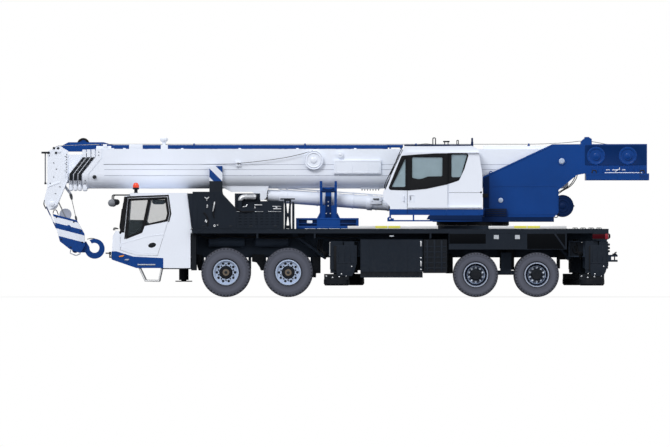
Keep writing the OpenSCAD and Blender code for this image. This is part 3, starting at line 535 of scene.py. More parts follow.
def make_tyre_rubber(rubber):
    """Rubber of the tyres, with rings of painted shade and highlight on the sidewalls."""
    # Tone across the sidewall from bead to tread: dark at the bead and the shoulder, lighter on the bulge,
    # as painted shade and highlight of its curve
    tones = ((0.0, 0.25), (0.1, 0.45), (0.17, 0.95), (0.5, 1.2), (0.72, 0.85), (0.82, 1.05), (0.93, 1.0),
             (1.0, 0.4))
    dust_tone = srgb(98, 94, 94)

    def sidewall(n):
        ring = n.tree.nodes.new("ShaderNodeAttribute")
        ring.attribute_name = "sidewall"
        return n.ramp(ring.outputs["Fac"], [(spot, shade(rubber, tone)) for spot, tone in tones])

    surface("tyre_rubber", rubber, pattern=sidewall, rough=(0.55, 0.75), grain=420.0, bump=0.25, depth=0.5,
            dust=0.12, dust_top=1.6, streak=0.0, dust_colour=dust_tone)
    # Darker rubber for the crown and the notches between shoulder lugs: painted shade
    surface("tread_rubber_painted_shade", shade(rubber, 0.5), dark=0.8, light=1.15, rough=(0.6, 0.8), grain=420.0,
            bump=0.25, depth=0.5, dust=0.1, dust_top=1.6, streak=0.0, dust_colour=dust_tone)


def make_metals(wheel):
    """Metals, wheel paints, grips, ropes and seat cloth."""
    surface("silver_metal", srgb(206, 209, 214), dark=0.88, light=1.05, rough=(0.28, 0.42), metallic=0.7,
            grain=320.0, bump=0.05, spec=0.4)
    surface("dark_steel", srgb(50, 53, 58), dark=0.8, light=1.15, rough=(0.4, 0.6), metallic=0.5, bump=0.12)
    surface("cast_iron", srgb(86, 88, 92), dark=0.8, light=1.15, rough=(0.5, 0.7), metallic=0.4, grain=150.0,
            bump=0.3, depth=0.8)
    surface("bronze_cap", srgb(120, 110, 98), rough=(0.35, 0.5), metallic=0.5, bump=0.1)
    surface("wheel_silver", wheel, dark=0.94, light=1.03, rough=(0.3, 0.42), metallic=0.1, coat=0.1,
            bump=0.05, spec=0.3)
    # Rear rims: the wheel paint darkened, painted shade
    surface("wheel_paint_shaded", srgb(160, 170, 190), rough=(0.35, 0.48), metallic=0.1, bump=0.05, spec=0.3)
    # Rear wheel dishes, darker still: painted shade of the deep dish
    surface("wheel_dark", srgb(58, 70, 92), rough=(0.35, 0.5), metallic=0.1)
    # Pale nuts of the rear wheels, lightened near white: partly painted highlight against the dish's shade
    surface("pale_nut_with_highlight", srgb(228, 238, 252), rough=(0.3, 0.4), spec=0.4)
    surface("yellow_grip", srgb(216, 212, 96), rough=(0.6, 0.8), grain=900.0, bump=0.5, depth=0.8,
            streak=0.0)
    surface("rope_steel", srgb(140, 141, 144), dark=0.75, light=1.1, rough=(0.35, 0.55), metallic=0.6,
            grain=90.0, bump=0.6, depth=2.0, spec=0.3)
    surface("tread_plate", srgb(214, 216, 218), dark=0.92, light=1.03, rough=(0.35, 0.5), metallic=0.3,
            grain=60.0, bump=0.6, depth=2.5, spec=0.3)
    surface("seat_cloth", srgb(40, 45, 56), dark=0.8, light=1.15, rough=(0.85, 0.95), grain=900.0, bump=0.6,
            depth=0.8, dust=0.02, streak=0.0, spec=0.05)


def make_bands(white, blue, slate):
    """Slanted bands of the boom rest and of the hook block, in metres."""
    rest_start, rest_pitch, rest_foot = 3.844, 0.388, 2.61
    block_nose, block_foot, block_top = 6.492, 1.0, 2.0

    def rest_bands(n):
        slope = n.calc("ADD", n.axis("X"), n.axis("Z"))
        turn = n.calc("FRACT", n.calc("DIVIDE", n.calc("ADD", slope, rest_start), rest_pitch), 0.0)
        bands = n.ramp(turn, ((0.0, blue), (0.5, white)), sharp=True)
        low = n.remap(n.axis("Z"), rest_foot - MM / 2, rest_foot + MM / 2)
        return n.mix(low, shade(slate, 0.8), bands)

    def block_bands(n):
        lean = n.calc("MULTIPLY", n.calc("ADD", n.axis("X"), block_nose), BLOCK_LEAN)
        part = n.remap(n.calc("ADD", n.axis("Z"), lean), block_foot, block_top)
        stops = ((0.0, blue), (0.383, white), (0.54, blue), (0.664, white), (0.795, blue))
        return n.ramp(part, stops, sharp=True)

    surface("rest_bands", white, rough=(0.3, 0.42), coat=0.1, pattern=rest_bands)
    surface("block_bands", white, rough=(0.3, 0.42), coat=0.1, pattern=block_bands)


def make_glass(glass):
    """Panes and lamp lenses."""
    glass_surface("clear_glass", shade(glass, 0.6), 0.15)
    # Operator's panes: the shared tint lightened 2.85 times, painted reflection on the glass
    glass_surface("grey_glass_painted_reflection", shade(glass, 2.85), 0.46)
    glass_surface("visor_glass", srgb(28, 42, 64), 0.9)
    lens_surface("amber_lens", srgb(236, 150, 40))
    lens_surface("beacon_lens", srgb(228, 70, 38), glow=0.12)
    lens_surface("red_lens", srgb(140, 16, 38))
    surface("dark_lens", srgb(58, 7, 16), rough=(0.4, 0.5), dust=0.0, streak=0.0, spec=0.04)
    lens_surface("white_lens", srgb(182, 188, 196))


def make_finishes(look):
    """All finishes of the crane."""
    white, blue = tuple(look.white), tuple(look.blue)
    slate, black = tuple(look.slate), tuple(look.black)
    make_paints(white, blue, slate, black)
    make_tyre_rubber(tuple(look.tyre))
    make_metals(tuple(look.wheel))
    make_bands(white, blue, slate)
    make_glass(tuple(look.glass))


# The frame and axles take the lightened slate, painted light against the shade under the deck
NODE_FINISH = {
    "chassis_frame": "chassis_slate_painted_light", "axles": "chassis_slate_painted_light", "front_jack": "black_paint",
    "deck": "slate_paint", "side_boxes": "slate_paint", "engine_hood": "slate_paint", "engine": "cast_iron",
    "cab_shell": "white_paint", "cab_glass": "clear_glass", "cab_interior": "black_plastic",
    "front_bumper": "blue_paint", "lamps": "black_plastic", "mirrors": "black_plastic",
    "boom_supports": "blue_paint", "turntable": "blue_paint", "counterweight": "blue_paint",
    "winches": "dark_steel", "operator_cab": "white_paint", "operator_door": "white_paint",
    "operator_glass": "grey_glass_painted_reflection", "operator_seat": "black_plastic", "fly_jib": "blue_paint",
    "boom_base": "white_paint", "boom_2": "white_paint", "boom_3": "white_paint", "boom_4": "white_paint",
    "boom_head": "white_paint", "lift_barrel": "white_paint", "lift_rod": "silver_metal",
    "hook_block": "block_bands",
}
NODE_FAMILIES = (
    ("knuckle_", "black_paint"), ("tyre_", "tyre_rubber"), ("rim_", "wheel_silver"),
    ("beam_", "slate_paint"), ("jack_", "black_paint"), ("door_", "white_paint"),
)


def finish_of(node):
    """Name of the finish that covers a CAD node."""
    if node in NODE_FINISH:
        return NODE_FINISH[node]
    for start, finish in NODE_FAMILIES:
        if node.startswith(start):
            return finish
    raise RuntimeError("no finish is named for node " + node)


def dress(node, finishes, choose=None):
    """Gives a CAD node its finishes, face by face where it has several."""
    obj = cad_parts[node]
    obj.data.materials.clear()
    for finish in finishes:
        obj.data.materials.append(FINISHES[finish])
    for poly in obj.data.polygons:
        poly.material_index = choose(poly.center * PER_M) if choose else 0


# Operators


class CRANE_OT_finishes(Operator):
    """Makes the finishes and gives every CAD node its own"""

    bl_idname = "crane.finishes"
    bl_label = "Finishes"

    def execute(self, context):
        make_finishes(context.scene.crane_look)
        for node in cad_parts:
            dress(node, [finish_of(node)])
        dress("deck", ["slate_paint", "tread_plate"], self.deck)
        dress("boom_supports", ["blue_paint", "rest_bands"], lambda c: int(c.x < -2700))
        dress("front_bumper", ["blue_paint", "tread_plate", "dark_steel"], self.bumper)
        dress("engine", ["cast_iron", "silver_metal", "slate_paint"], self.engine)
        dress("lamps", ["black_plastic", "beacon_lens", "blue_paint", "white_lens", "red_lens"], self.lamp)
        dress("side_boxes", ["slate_paint", "black_paint"], lambda c: int(c.x > 1755 or c.z < 568))
        dress("chassis_frame", ["chassis_slate_painted_light", "slate_paint", "black_paint"], self.chassis)
        dress("boom_head", ["white_paint", "grey_plastic"], lambda c: int(c.x < -6700 and 2560 < c.z < 3235))
        dress("turntable", ["blue_paint", "navy_paint_and_shade", "black_paint"], self.upper)
        dress("hook_block", ["block_bands", "blue_paint", "rope_steel"], self.hook)
        for axles, z, finishes, rim in (
                (FRONT_AXLES, FRONT_TYRE_R, ["wheel_silver", "black_paint", "bronze_cap"], self.front_rim),
                (REAR_AXLES, REAR_TYRE_R, ["wheel_paint_shaded", "wheel_dark", "black_paint"], self.rear_rim)):
            for axle, x in axles:
                for _, side in SIDES:
                    dress("rim_%d_%s" % (axle, side), finishes,
                          lambda c: rim(math.hypot(c.x - x, c.z - z), abs(c.y)))
        return {"FINISHED"}

    @staticmethod
    def deck(c):
        """Tread strips along both edges of the deck."""
        return int(abs(c.y) > 1178 and c.z > 1536 and -10 < c.x < 5000)

    @staticmethod
    def bumper(c):
        """Step hoops low down and tow eyes at the nose."""
        if c.z < 651:
            return 1
        return 2 if c.x < -5240 else 0

    @staticmethod
    def engine(c):
        """Bright pipes above the hood and painted covers below them."""
        if c.z > 2175:
            return 1
        return 2 if c.z > 1990 else 0

    @staticmethod
    def chassis(c):
        """Black front plate, slate outer sides, and elsewhere slate lightened as painted light against the
        shade under the deck.
        """
        if c.x < -3335:
            return 2
        return int(abs(c.y) > 1328 and c.z > 630 or c.x > 2300 and abs(c.y) > 1320)

    @staticmethod
    def hook(c):
        """Rope falls above the block, and the plain blue hook below its cheeks."""
        if c.z > 1880 - (c.x + 6590) * BLOCK_LEAN:
            return 2
        return int(c.x > -5868 or abs(c.y) < 70 and c.x > -5990)

    @staticmethod
    def lamp(c):
        """Beacon, its foot, tail lamps, white lamps and the bumper's lamp bar."""
        if c.z > 2430:
            return 1
        if c.z > 2300:
            return 0
        if c.x > 5500:
            return 4 if c.x > 5900 else 0
        if c.x > 3000 or c.x < -5236:
            return 3
        return 2

    @staticmethod
    def upper(c):
        """Dark slewing ring, hose reel, and the platform edge in navy as painted shade."""
        if c.z < 1692 and math.hypot(c.x - 2880, c.y) < 830:
            return 2
        reel = c.x > 4810 and c.z < 2300 and c.y > -440
        return int(reel or 1692 < c.z < 1801 and c.x > 1975)

    @staticmethod
    def front_rim(r, y):
        """Hub cap and dark hub of a front rim."""
        if r < 76 and y > 1329:
            return 2
        return 1 if r < 151 and y > 1304 else 0

    @staticmethod
    def rear_rim(r, y):
        """Black hub, the rim in wheel paint darkened as painted shade, and the dish darker again as painted
        shade of its depth.
        """
        if r < 123:
            return 2
        return 0 if r > 246 or (r > 150 and y > 1104) else 1


def seen_share(tree):
    """One for rays from the camera or through glass, nought for the others."""
    path = tree.nodes.new("ShaderNodeLightPath")
    seen = tree.nodes.new("ShaderNodeMath")
    seen.operation = "MAXIMUM"
    tree.links.new(path.outputs["Is Camera Ray"], seen.inputs[0])
    tree.links.new(path.outputs["Is Transmission Ray"], seen.inputs[1])
    return seen.outputs[0]


class CRANE_OT_stage(Operator):
    """Camera at the photograph's angle, soft light, pale floor"""

    bl_idname = "crane.stage"
    bl_label = "Stage"

    def execute(self, context):
        scene = context.scene
        scene.view_settings.view_transform = "Standard"
        far = 400.0
        view_width = 15.075
        aim_x, aim_z = -0.225, 1.654
        near_face = -0.65
        lens = bpy.data.cameras.new("camera")
        lens.sensor_width = 36.0
        lens.lens = lens.sensor_width * far / view_width
        lens.clip_end = 3000.0
        camera = bpy.data.objects.new("camera", lens)
        camera.location = (aim_x, near_face - far, aim_z)
        camera.rotation_euler = (math.pi / 2, 0, 0)
        scene.collection.objects.link(camera)
        scene.camera = camera

        bm = bmesh.new()
        bmesh.ops.create_grid(bm, x_segments=8, y_segments=8, size=1200.0)
        mesh = bpy.data.meshes.new("floor")
        bm.to_mesh(mesh)
        bm.free()
        floor = bpy.data.objects.new("floor", mesh)
        scene.collection.objects.link(floor)
        mesh.materials.append(self.floor_finish())

        world = bpy.data.worlds.new("studio")
        scene.world = world
        world.use_nodes = True
        tree = world.node_tree
        back = tree.nodes["Background"]
        level = tree.nodes.new("ShaderNodeMapRange")
        level.inputs["To Min"].default_value = 0.68
        level.inputs["To Max"].default_value = 1.0
        tree.links.new(seen_share(tree), level.inputs["Value"])
        tree.links.new(level.outputs[0], back.inputs["Strength"])
        back.inputs["Color"].default_value = (1, 1, 1, 1)

        for name, energy, angle, turn in (("key", 1.8, 25.0, (50, 0, -28)), ("fill", 0.6, 60.0, (72, 0, 50)),
                                          ("back", 0.5, 50.0, (-55, 0, 20))):
            lamp = bpy.data.lights.new(name, "SUN")
            lamp.energy = energy
            lamp.angle = math.radians(angle)
            obj = bpy.data.objects.new(name, lamp)
            obj.rotation_euler = [math.radians(a) for a in turn]
            scene.collection.objects.link(obj)
        return {"FINISHED"}

    @staticmethod
    def floor_finish():
        """Pale to the eye, matt to the light, with the object's shadow kept near it."""
        material = bpy.data.materials.new("floor")
        material.use_nodes = True
        tree = material.node_tree
        tree.nodes.clear()
        out = tree.nodes.new("ShaderNodeOutputMaterial")
        matt = tree.nodes.new("ShaderNodeBsdfDiffuse")
        matt.inputs["Color"].default_value = (0.26, 0.26, 0.27, 1)
        pale = tree.nodes.new("ShaderNodeEmission")
        pale.inputs["Strength"].default_value = 1.0
        coord = tree.nodes.new("ShaderNodeTexCoord")
        away = tree.nodes.new("ShaderNodeVectorMath")
        away.operation = "LENGTH"
        narrow = tree.nodes.new("ShaderNodeMapping")
        narrow.inputs["Scale"].default_value = (0.36, 1.0, 1.0)
        tree.links.new(coord.outputs["Object"], narrow.inputs["Vector"])
        tree.links.new(narrow.outputs[0], away.inputs[0])
        fade = tree.nodes.new("ShaderNodeMapRange")
        for socket, number in zip(fade.inputs[1:5], (2.0, 4.6, 0.84, 1.0)):
            socket.default_value = number
        tree.links.new(away.outputs["Value"], fade.inputs["Value"])
        share = tree.nodes.new("ShaderNodeMath")
        share.operation = "MULTIPLY"
        tree.links.new(fade.outputs[0], share.inputs[1])
        tree.links.new(seen_share(tree), share.inputs[0])
        mix = tree.nodes.new("ShaderNodeMixShader")
        tree.links.new(share.outputs[0], mix.inputs[0])
        tree.links.new(matt.outputs[0], mix.inputs[1])
        tree.links.new(pale.outputs[0], mix.inputs[2])
        tree.links.new(mix.outputs[0], out.inputs[0])
        return material


def tyre(bm, x, z, middle, outer, bead, half, lugs, depth):
    """One tyre with its tread blocks round its axle."""
    low = outer - depth
    rows = (half * 0.80, half * 0.45, half * 0.39, half * 0.05)
    side = [(bead, -half * 0.80), (bead + 8, -half * 0.86), (bead + 26, -half * 0.93),
            (bead + 30, -half * 0.95), (bead + 36, -half * 0.945), ((bead + low) / 2, -half),
            (low - 62, -half * 0.97), (low - 58, -half * 0.985), (low - 48, -half * 0.975),
            (low - 34, -half * 0.93), (low - 3, -half * 0.84)]
    crown = [(low, -row) for row in rows]
    mirror = [(r, -t) for r, t in reversed(side + crown)]
    faces = lathe(bm, side + crown + mirror, vec(x, middle, z), (0, 1, 0), steps=lugs, closed=True)
    axle = vec(x, middle, z)
    blocks, shoulders = [], []
    for face in faces:
        c = face.calc_center_median() - axle
        r = math.hypot(c.x, c.z) * PER_M
        t = abs(c.y) * PER_M
        # The crown takes the darker rubber, painted shade on the tyre's outer edge
        face.material_index = int(r > low - 4)
        if r > low - 4 and (rows[1] < t < rows[0] or rows[3] < t < rows[2]):
            blocks.append(face)
        elif low - 32 < r < low - 6 and t > half * 0.84:
            shoulders.append(face)
    bmesh.ops.inset_individual(bm, faces=blocks, thickness=0.0045, depth=depth * MM)
    raised = []
    for face in shoulders:
        c = face.calc_center_median() - axle
        odd = round(math.atan2(c.z, c.x) / math.tau * lugs) % 2
        # Sunk notches between the shoulder lugs take the darker rubber: painted shade
        face.material_index = int(not odd)
        if odd:
            raised.append(face)
    bmesh.ops.inset_individual(bm, faces=raised, thickness=0.003, depth=0.012)


class CRANE_OT_tyres(Operator):
    """Tyres with rings of painted shade on the sidewalls and tread blocks"""

    bl_idname = "crane.tyres"
    bl_label = "Tyres"

    def execute(self, context):
        tread = context.scene.crane_tyres
        for axles, outer, bead, half, middles in (
                (FRONT_AXLES, FRONT_TYRE_R, 285.5, 150.0, (1220.0,)),
                (REAR_AXLES, REAR_TYRE_R, 276.0, 130.0, (1240.0, 920.0))):
            for axle, x in axles:
                for s, side in SIDES:
                    bm = bmesh.new()
                    for middle in middles:
                        tyre(bm, x, outer, s * middle, outer, bead, half, tread.blocks, tread.depth * PER_M)
                    # Place across the sidewall, which sets its rings of painted shade
                    ring = bm.verts.layers.float.new("sidewall")
                    for v in bm.verts:
                        r = math.hypot(v.co.x * PER_M - x, v.co.z * PER_M - outer)
                        v[ring] = min(1.0, max(0.0, (r - bead) / (outer - bead)))
                    station = "%d_%s" % (axle, side)
                    piece("tread_" + station, bm, ["tyre_rubber", "tread_rubber_painted_shade"], "wheel_" + station,
                          replaces=["tyre_" + station])
        return {"FINISHED"}


class CRANE_OT_wheel_nuts(Operator):
    """Nuts, brake drums, rings painted as the rear discs' edge highlight, hub bolts and valves of the wheels
    """

    bl_idname = "crane.wheel_nuts"
    bl_label = "Wheel nuts"

    def execute(self, context):
        for axles, z, face_y, ring, nut, reach, hub_y, tone in (
                (FRONT_AXLES, FRONT_TYRE_R, 1305.0, 172.0, 11.0, 34.0, 1330.0, "dark_steel"),
                (REAR_AXLES, REAR_TYRE_R, 1096.0, 160.0, 23.0, 130.0, 1308.0, "pale_nut_with_highlight")):
            for axle, x in axles:
                for s, side in SIDES:
                    bm = bmesh.new()
                    out = (0, s, 0)
                    for dx, dz in around(10, ring, 18):
                        spot = vec(x + dx, s * face_y, z + dz)
                        peg(bm, spot, out, nut + 6, 12, edge=2)
                        peg(bm, spot, out, nut, reach, sides=6, edge=2.5)
                        peg(bm, spot, out, nut * 0.55, reach + 12, sides=10, edge=2)
                    if axles is FRONT_AXLES:
                        drum = [(132, 0), (256, 0), (262, -10), (262, -60), (132, -60)]
                        lathe(bm, drum, vec(x, s * 1280, z), out, steps=48, mat=1, closed=True)
                        cap = [(0, 0), (34, 0), (34, 5), (26, 9), (0, 10)]
                        lathe(bm, cap, vec(x, s * 1347, z), out, mat=1)
                    else:
                        # Ring in the lighter front-wheel paint at the rear disc's edge: painted highlight
                        collar = [(188, 0), (206, 0), (206, 84), (202, 90), (192, 90), (188, 84)]
                        lathe(bm, collar, vec(x, s * 1100, z), out, steps=56, mat=2, closed=True)
                    for dx, dz in around(8, 98):
                        peg(bm, vec(x + dx, s * hub_y, z + dz), out, 9, 9, sides=6, edge=1, mat=1)
                    tube(bm, [(x + 232, s * (face_y - 8), z + 20), (x + 236, s * (face_y + 26), z + 20),
                              (x + 238, s * (face_y + 52), z + 20)], 5, mat=1)
                    piece("nuts_%d_%s" % (axle, side), bm, [tone, "dark_steel", "wheel_silver"],
                          "wheel_%d_%s" % (axle, side))
        return {"FINISHED"}


DOOR_FRONT = [(-4840, 2180), (-4415, 2198), (-4530, 1660), (-4583, 1470), (-4900, 1345)]
DOOR_REAR = [(-4375, 2200), (-4035, 2214), (-3985, 1880), (-4020, 1735), (-4490, 1625)]


class CRANE_OT_driver_glazing(Operator):
    """Panes, rubber frames and wipers of the driver's cab"""

    bl_idname = "crane.driver_glazing"
    bl_label = "Driver glazing"

    def execute(self, context):
        for s, side in SIDES:
            bm = bmesh.new()
            for loop in (DOOR_FRONT, DOOR_REAR):
                sheet(bm, [rounded(grown(loop, 6), 30)], (s * 1222, s * 1228), edge=1)
            piece("door_panes_" + side, bm, ["clear_glass"], "door_" + side)
            bm = bmesh.new()
            outer = [(-4870, 2217), (-3995, 2253), (-3944, 1876), (-3985, 1702), (-4500, 1598),
                     (-4556, 1446), (-4925, 1300)]
            holes = [rounded(grown(DOOR_FRONT, -4), 26), rounded(grown(DOOR_REAR, -4), 26)]
            sheet(bm, [rounded(outer, 14)] + holes, (s * 1247, s * 1254), edge=2)
            sheet(bm, [[(-4948, 1440), (-4872, 2210), (-4850, 2212), (-4928, 1310), (-4960, 1300)]],
                  (s * 1247, s * 1255), edge=2)
            for loop in (DOOR_FRONT, DOOR_REAR):
                sheet(bm, [rounded(grown(loop, -2), 28), rounded(grown(loop, -12), 22)],
                      (s * 1228, s * 1249), edge=3)
            piece("door_frames_" + side, bm, ["rubber"], "door_" + side)
        lean = math.atan2(100.0, 785.0)
        tilt = Matrix.Translation(vec(-5042, 0, 1505)) @ Matrix.Rotation(lean, 4, "Y")
        bm = bmesh.new()
        for s in (LEFT, RIGHT):
            sheet(bm, [rounded([(-4962, 2262), (-4882, 2250), (-4914, 1930), (-4964, 1458), (-5062, 1440)],
                               10)], (s * 1248, s * 1257), edge=3)
            sheet(bm, [[(-4902, 2228), (-3983, 2264), (-3932, 1875), (-3973, 1692), (-3950, 1688),
                        (-3900, 1876), (-3962, 2300), (-4902, 2264)]], (s * 1248, s * 1254), edge=2)
            dome(bm, vec(-5048, s * 1246, 1450), (26, 18, 34))
        ring = [rounded([(-1165, 0), (1165, 0), (1165, 750), (-1165, 750)], 70),
                rounded([(-1105, 45), (1105, 45), (1105, 708), (-1105, 708)], 50)]
        sheet(bm, ring, (-14, 4), edge=4, plane="YZ", at=tilt)
        for y in (-820, 0, 820):
            arm = [(-16, y + 330, 10), (-30, y + 330, 40), (-34, y + 120, 260), (-34, y - 60, 470)]
            blade = [(-22, y - 250, 330), (-22, y + 120, 610)]
            for path, r in ((arm, 9), (blade, 7)):
                tube(bm, [tuple((tilt @ vec(*p)) * PER_M) for p in path], r)
        piece("windscreen_frame", bm, ["rubber"], "carrier")
        return {"FINISHED"}


class CRANE_OT_driver_trim(Operator):
    """Handles, creases, visors, beacon, mirrors, lamps and grille of the driver's cab"""

    bl_idname = "crane.driver_trim"
    bl_label = "Driver cab trim"

    def execute(self, context):
        for s, side in SIDES:
            bm = bmesh.new()
            ring = [(-4334 + 88 * dx, 1166 + 56 * dz + 14 * dx) for dx, dz in around(32, 1.0)]
            sheet(bm, [ring], (s * 1243, s * 1253), edge=3)
            block(bm, (-4392, -4276), (s * 1249, s * 1258), (1158, 1180), edge=4)
            piece("door_handle_" + side, bm, ["black_plastic"], "door_" + side)
            bm = bmesh.new()
            tube(bm, [(-5013, s * 1250, 1204), (-4700, s * 1250, 1292), (-4400, s * 1250, 1368),
                      (-4102, s * 1250, 1405)], 7)
            tube(bm, [(-4980, s * 1250, 1120), (-4660, s * 1250, 1010), (-4260, s * 1250, 985)], 4)
            piece("door_crease_" + side, bm, ["white_paint"], "door_" + side)
            bm = bmesh.new()
            rail(bm, [(-3492, s * 1250, 2270), (-3470, s * 1275, 2240), (-3385, s * 1275, 1560),
                      (-3400, s * 1250, 1500)], 30, 14)
            piece("cab_grab_" + side, bm, ["grey_plastic"], "carrier")
            bm = bmesh.new()
            sheet(bm, [rounded([(-4200, 2190), (-4050, 2190), (-4050, 2120), (-4110, 2085), (-4300, 2085),
                                (-4340, 2130), (-4335, 2190)], 40)], (s * 1120, s * 1126), edge=2)
            piece("sun_visor_" + side, bm, ["visor_glass"], "carrier")
        beacon_x, beacon_y = -4700, -1000
        bm = bmesh.new()
        lathe(bm, [(0, 2338), (46, 2338), (46, 2348), (38, 2354), (38, 2416), (66, 2420), (70, 2428),
                   (70, 2460), (0, 2462)], vec(beacon_x, beacon_y, 0), (0, 0, 1), steps=32)
        piece("beacon_foot", bm, ["black_plastic"], "carrier")
        bm = bmesh.new()
        lathe(bm, [(0, 2461), (67, 2461), (68, 2480), (67, 2512), (60, 2542), (44, 2562), (20, 2571),
                   (0, 2572)], vec(beacon_x, beacon_y, 0), (0, 0, 1), steps=40)
        for dx, dy in around(12, 67):
            x, y = beacon_x + dx, beacon_y + dy
            tube(bm, [(x, y, 2464), (x, y, 2510)], 3, smooth=False, ring=1)
        piece("beacon_dome", bm, ["beacon_lens"], "carrier")
        bm = bmesh.new()
        for s in (LEFT, RIGHT):
            rail(bm, [(-4845, s * 1248, 2295), (-4845, s * 1400, 2295), (-5229, s * 1400, 2295),
                      (-5229, s * 1400, 2120)], 45, 14)
            dome(bm, vec(-5240, s * 1400, 2115), (84, 76, 84), mat=1)
            dome(bm, vec(-5160, s * 1376, 2136), (68, 62, 68))
            lathe(bm, [(0, 0), (66, 0), (72, 8), (66, 18), (0, 20)], vec(-5222, s * 1386, 2120),
                  (0.82, -0.57 * s, 0))
        piece("mirror_heads", bm, ["black_plastic", "grey_plastic"], "carrier",
              replaces=["mirrors"])
        bm = bmesh.new()
        for s in (LEFT, RIGHT):
            sheet(bm, [rounded([(-5092, 898), (-5060, 928), (-4962, 948), (-4984, 908)], 14)],
                  (s * 1262, s * 1273), edge=4)
            sheet(bm, [rounded([(-4962, 826), (-4934, 852), (-4846, 862), (-4866, 830)], 12)],
                  (s * 1262, s * 1273), edge=4, mat=1)
            block(bm, (-4662, -4262), (s * 1254, s * 1269), (718, 742), edge=3, mat=1)
        piece("bumper_lamps", bm, ["amber_lens", "white_lens"], "carrier")
        bm = bmesh.new()
        for s in (LEFT, RIGHT):
            block(bm, (-5247, -5236), (s * 790, s * 1150), (850, 1015), edge=6)
            for y in (880, 1060):
                lathe(bm, [(0, 0), (62, 0), (62, 10), (52, 14), (0, 18)], vec(-5246, s * y, 932),
                      (-1, 0, 0), mat=1)
        for z in (1120, 1180, 1240, 1300):
            x = -5238 + (z - 1030) * 0.066
            block(bm, (x, x + 14), (-780, 780), (z, z + 26), edge=6)
        for s in (LEFT, RIGHT):
            rail(bm, [(-5205, s * 1180, 1500), (-5190, s * 1180, 1560), (-5120, s * 1180, 1530)], 20, 12)
            block(bm, (-4100, -3450), (s * 1238, s * 1254), (628, 652), edge=4)
        piece("nose_grille", bm, ["black_plastic", "white_lens"], "carrier")
        return {"FINISHED"}


def cushion(name, outline, y, body, crown=18.0, channels=3):
    """A stuffed seat part: a crowned form with sewn channels."""
    bm = bmesh.new()
    low = [bm.verts.new(vec(x, y[0], z)) for x, z in outline]
    face = bm.faces.new(low)
    grown_up = bmesh.ops.extrude_face_region(bm, geom=[face])["geom"]
    top = [v for v in grown_up if isinstance(v, bmesh.types.BMVert)]
    bmesh.ops.translate(bm, vec=vec(0, y[1] - y[0], 0), verts=top)
    bmesh.ops.recalc_face_normals(bm, faces=list(bm.faces))
    bmesh.ops.bevel(bm, geom=list(bm.edges), offset=0.022, offset_type="OFFSET", segments=3, profile=0.5,
                    affect="EDGES", clamp_overlap=True, material=-1)
    long = [e for e in bm.edges if e.calc_length() > 0.09]
    bmesh.ops.subdivide_edges(bm, edges=long, cuts=9, use_grid_fill=True)
    bmesh.ops.triangulate(bm, faces=[f for f in bm.faces if len(f.verts) > 4])
    middle = sum(y) / 2
    half = abs(y[1] - y[0]) / 2
    for v in bm.verts:
        part = (v.co.y * PER_M - middle) / half
        swell = crown * max(0.0, 1 - part * part) + 6
        swell -= 10 * math.exp(-((part * (channels + 1) / 2) % 1 - 0.5) ** 2 / 0.006)
        v.co += v.normal * (swell * MM)
    bmesh.ops.smooth_vert(bm, verts=list(bm.verts), factor=0.4, use_axis_x=True, use_axis_y=True,
                          use_axis_z=True)
    bm.normal_update()
    obj = piece(name, bm, ["seat_cloth"], body, sharp=80)


class CRANE_OT_seats(Operator):
    """Padded seats of both cabs"""

    bl_idname = "crane.seats"
    bl_label = "Seats"

    def execute(self, context):
        for s, side in SIDES:
            y = sorted((s * 400, s * 920))
            cushion("driver_cushion_" + side, [(-4500, 1180), (-3900, 1180), (-3900, 1300), (-4500, 1330)],
                    y, "carrier")
            cushion("driver_back_" + side, [(-4010, 1300), (-3870, 1300), (-3700, 1980), (-3820, 1980)],
                    (y[0] + 20, y[1] - 20), "carrier")
        mid = -880.0
        cushion("operator_cushion", [(1720, 2301), (2380, 2301), (2380, 2421), (1720, 2451)],
                (mid - 250, mid + 250), "superstructure")
        cushion("operator_back", [(2290, 2421), (2420, 2421), (2560, 3061), (2450, 3061)],
                (mid - 230, mid + 230), "superstructure")
        return {"FINISHED"}


BAND = [(1269, 3176), (1640, 3208), (1994, 3231), (2734, 3244), (2777, 3188), (2682, 2880), (2561, 2619),
        (2302, 2534), (1820, 2430), (1442, 2396), (1013, 2405), (977, 2456)]
OP_FRONT = [(1040, 2470), (1360, 3130), (1360, 2470)]
OP_REAR = [(2385, 2690), (2385, 3210), (2740, 3210), (2740, 3180), (2600, 2690)]
OP_DOOR = [(1494, 2672), (1494, 3155), (2198, 3155), (2198, 2702), (1860, 2698), (1740, 2650), (1640, 2640)]


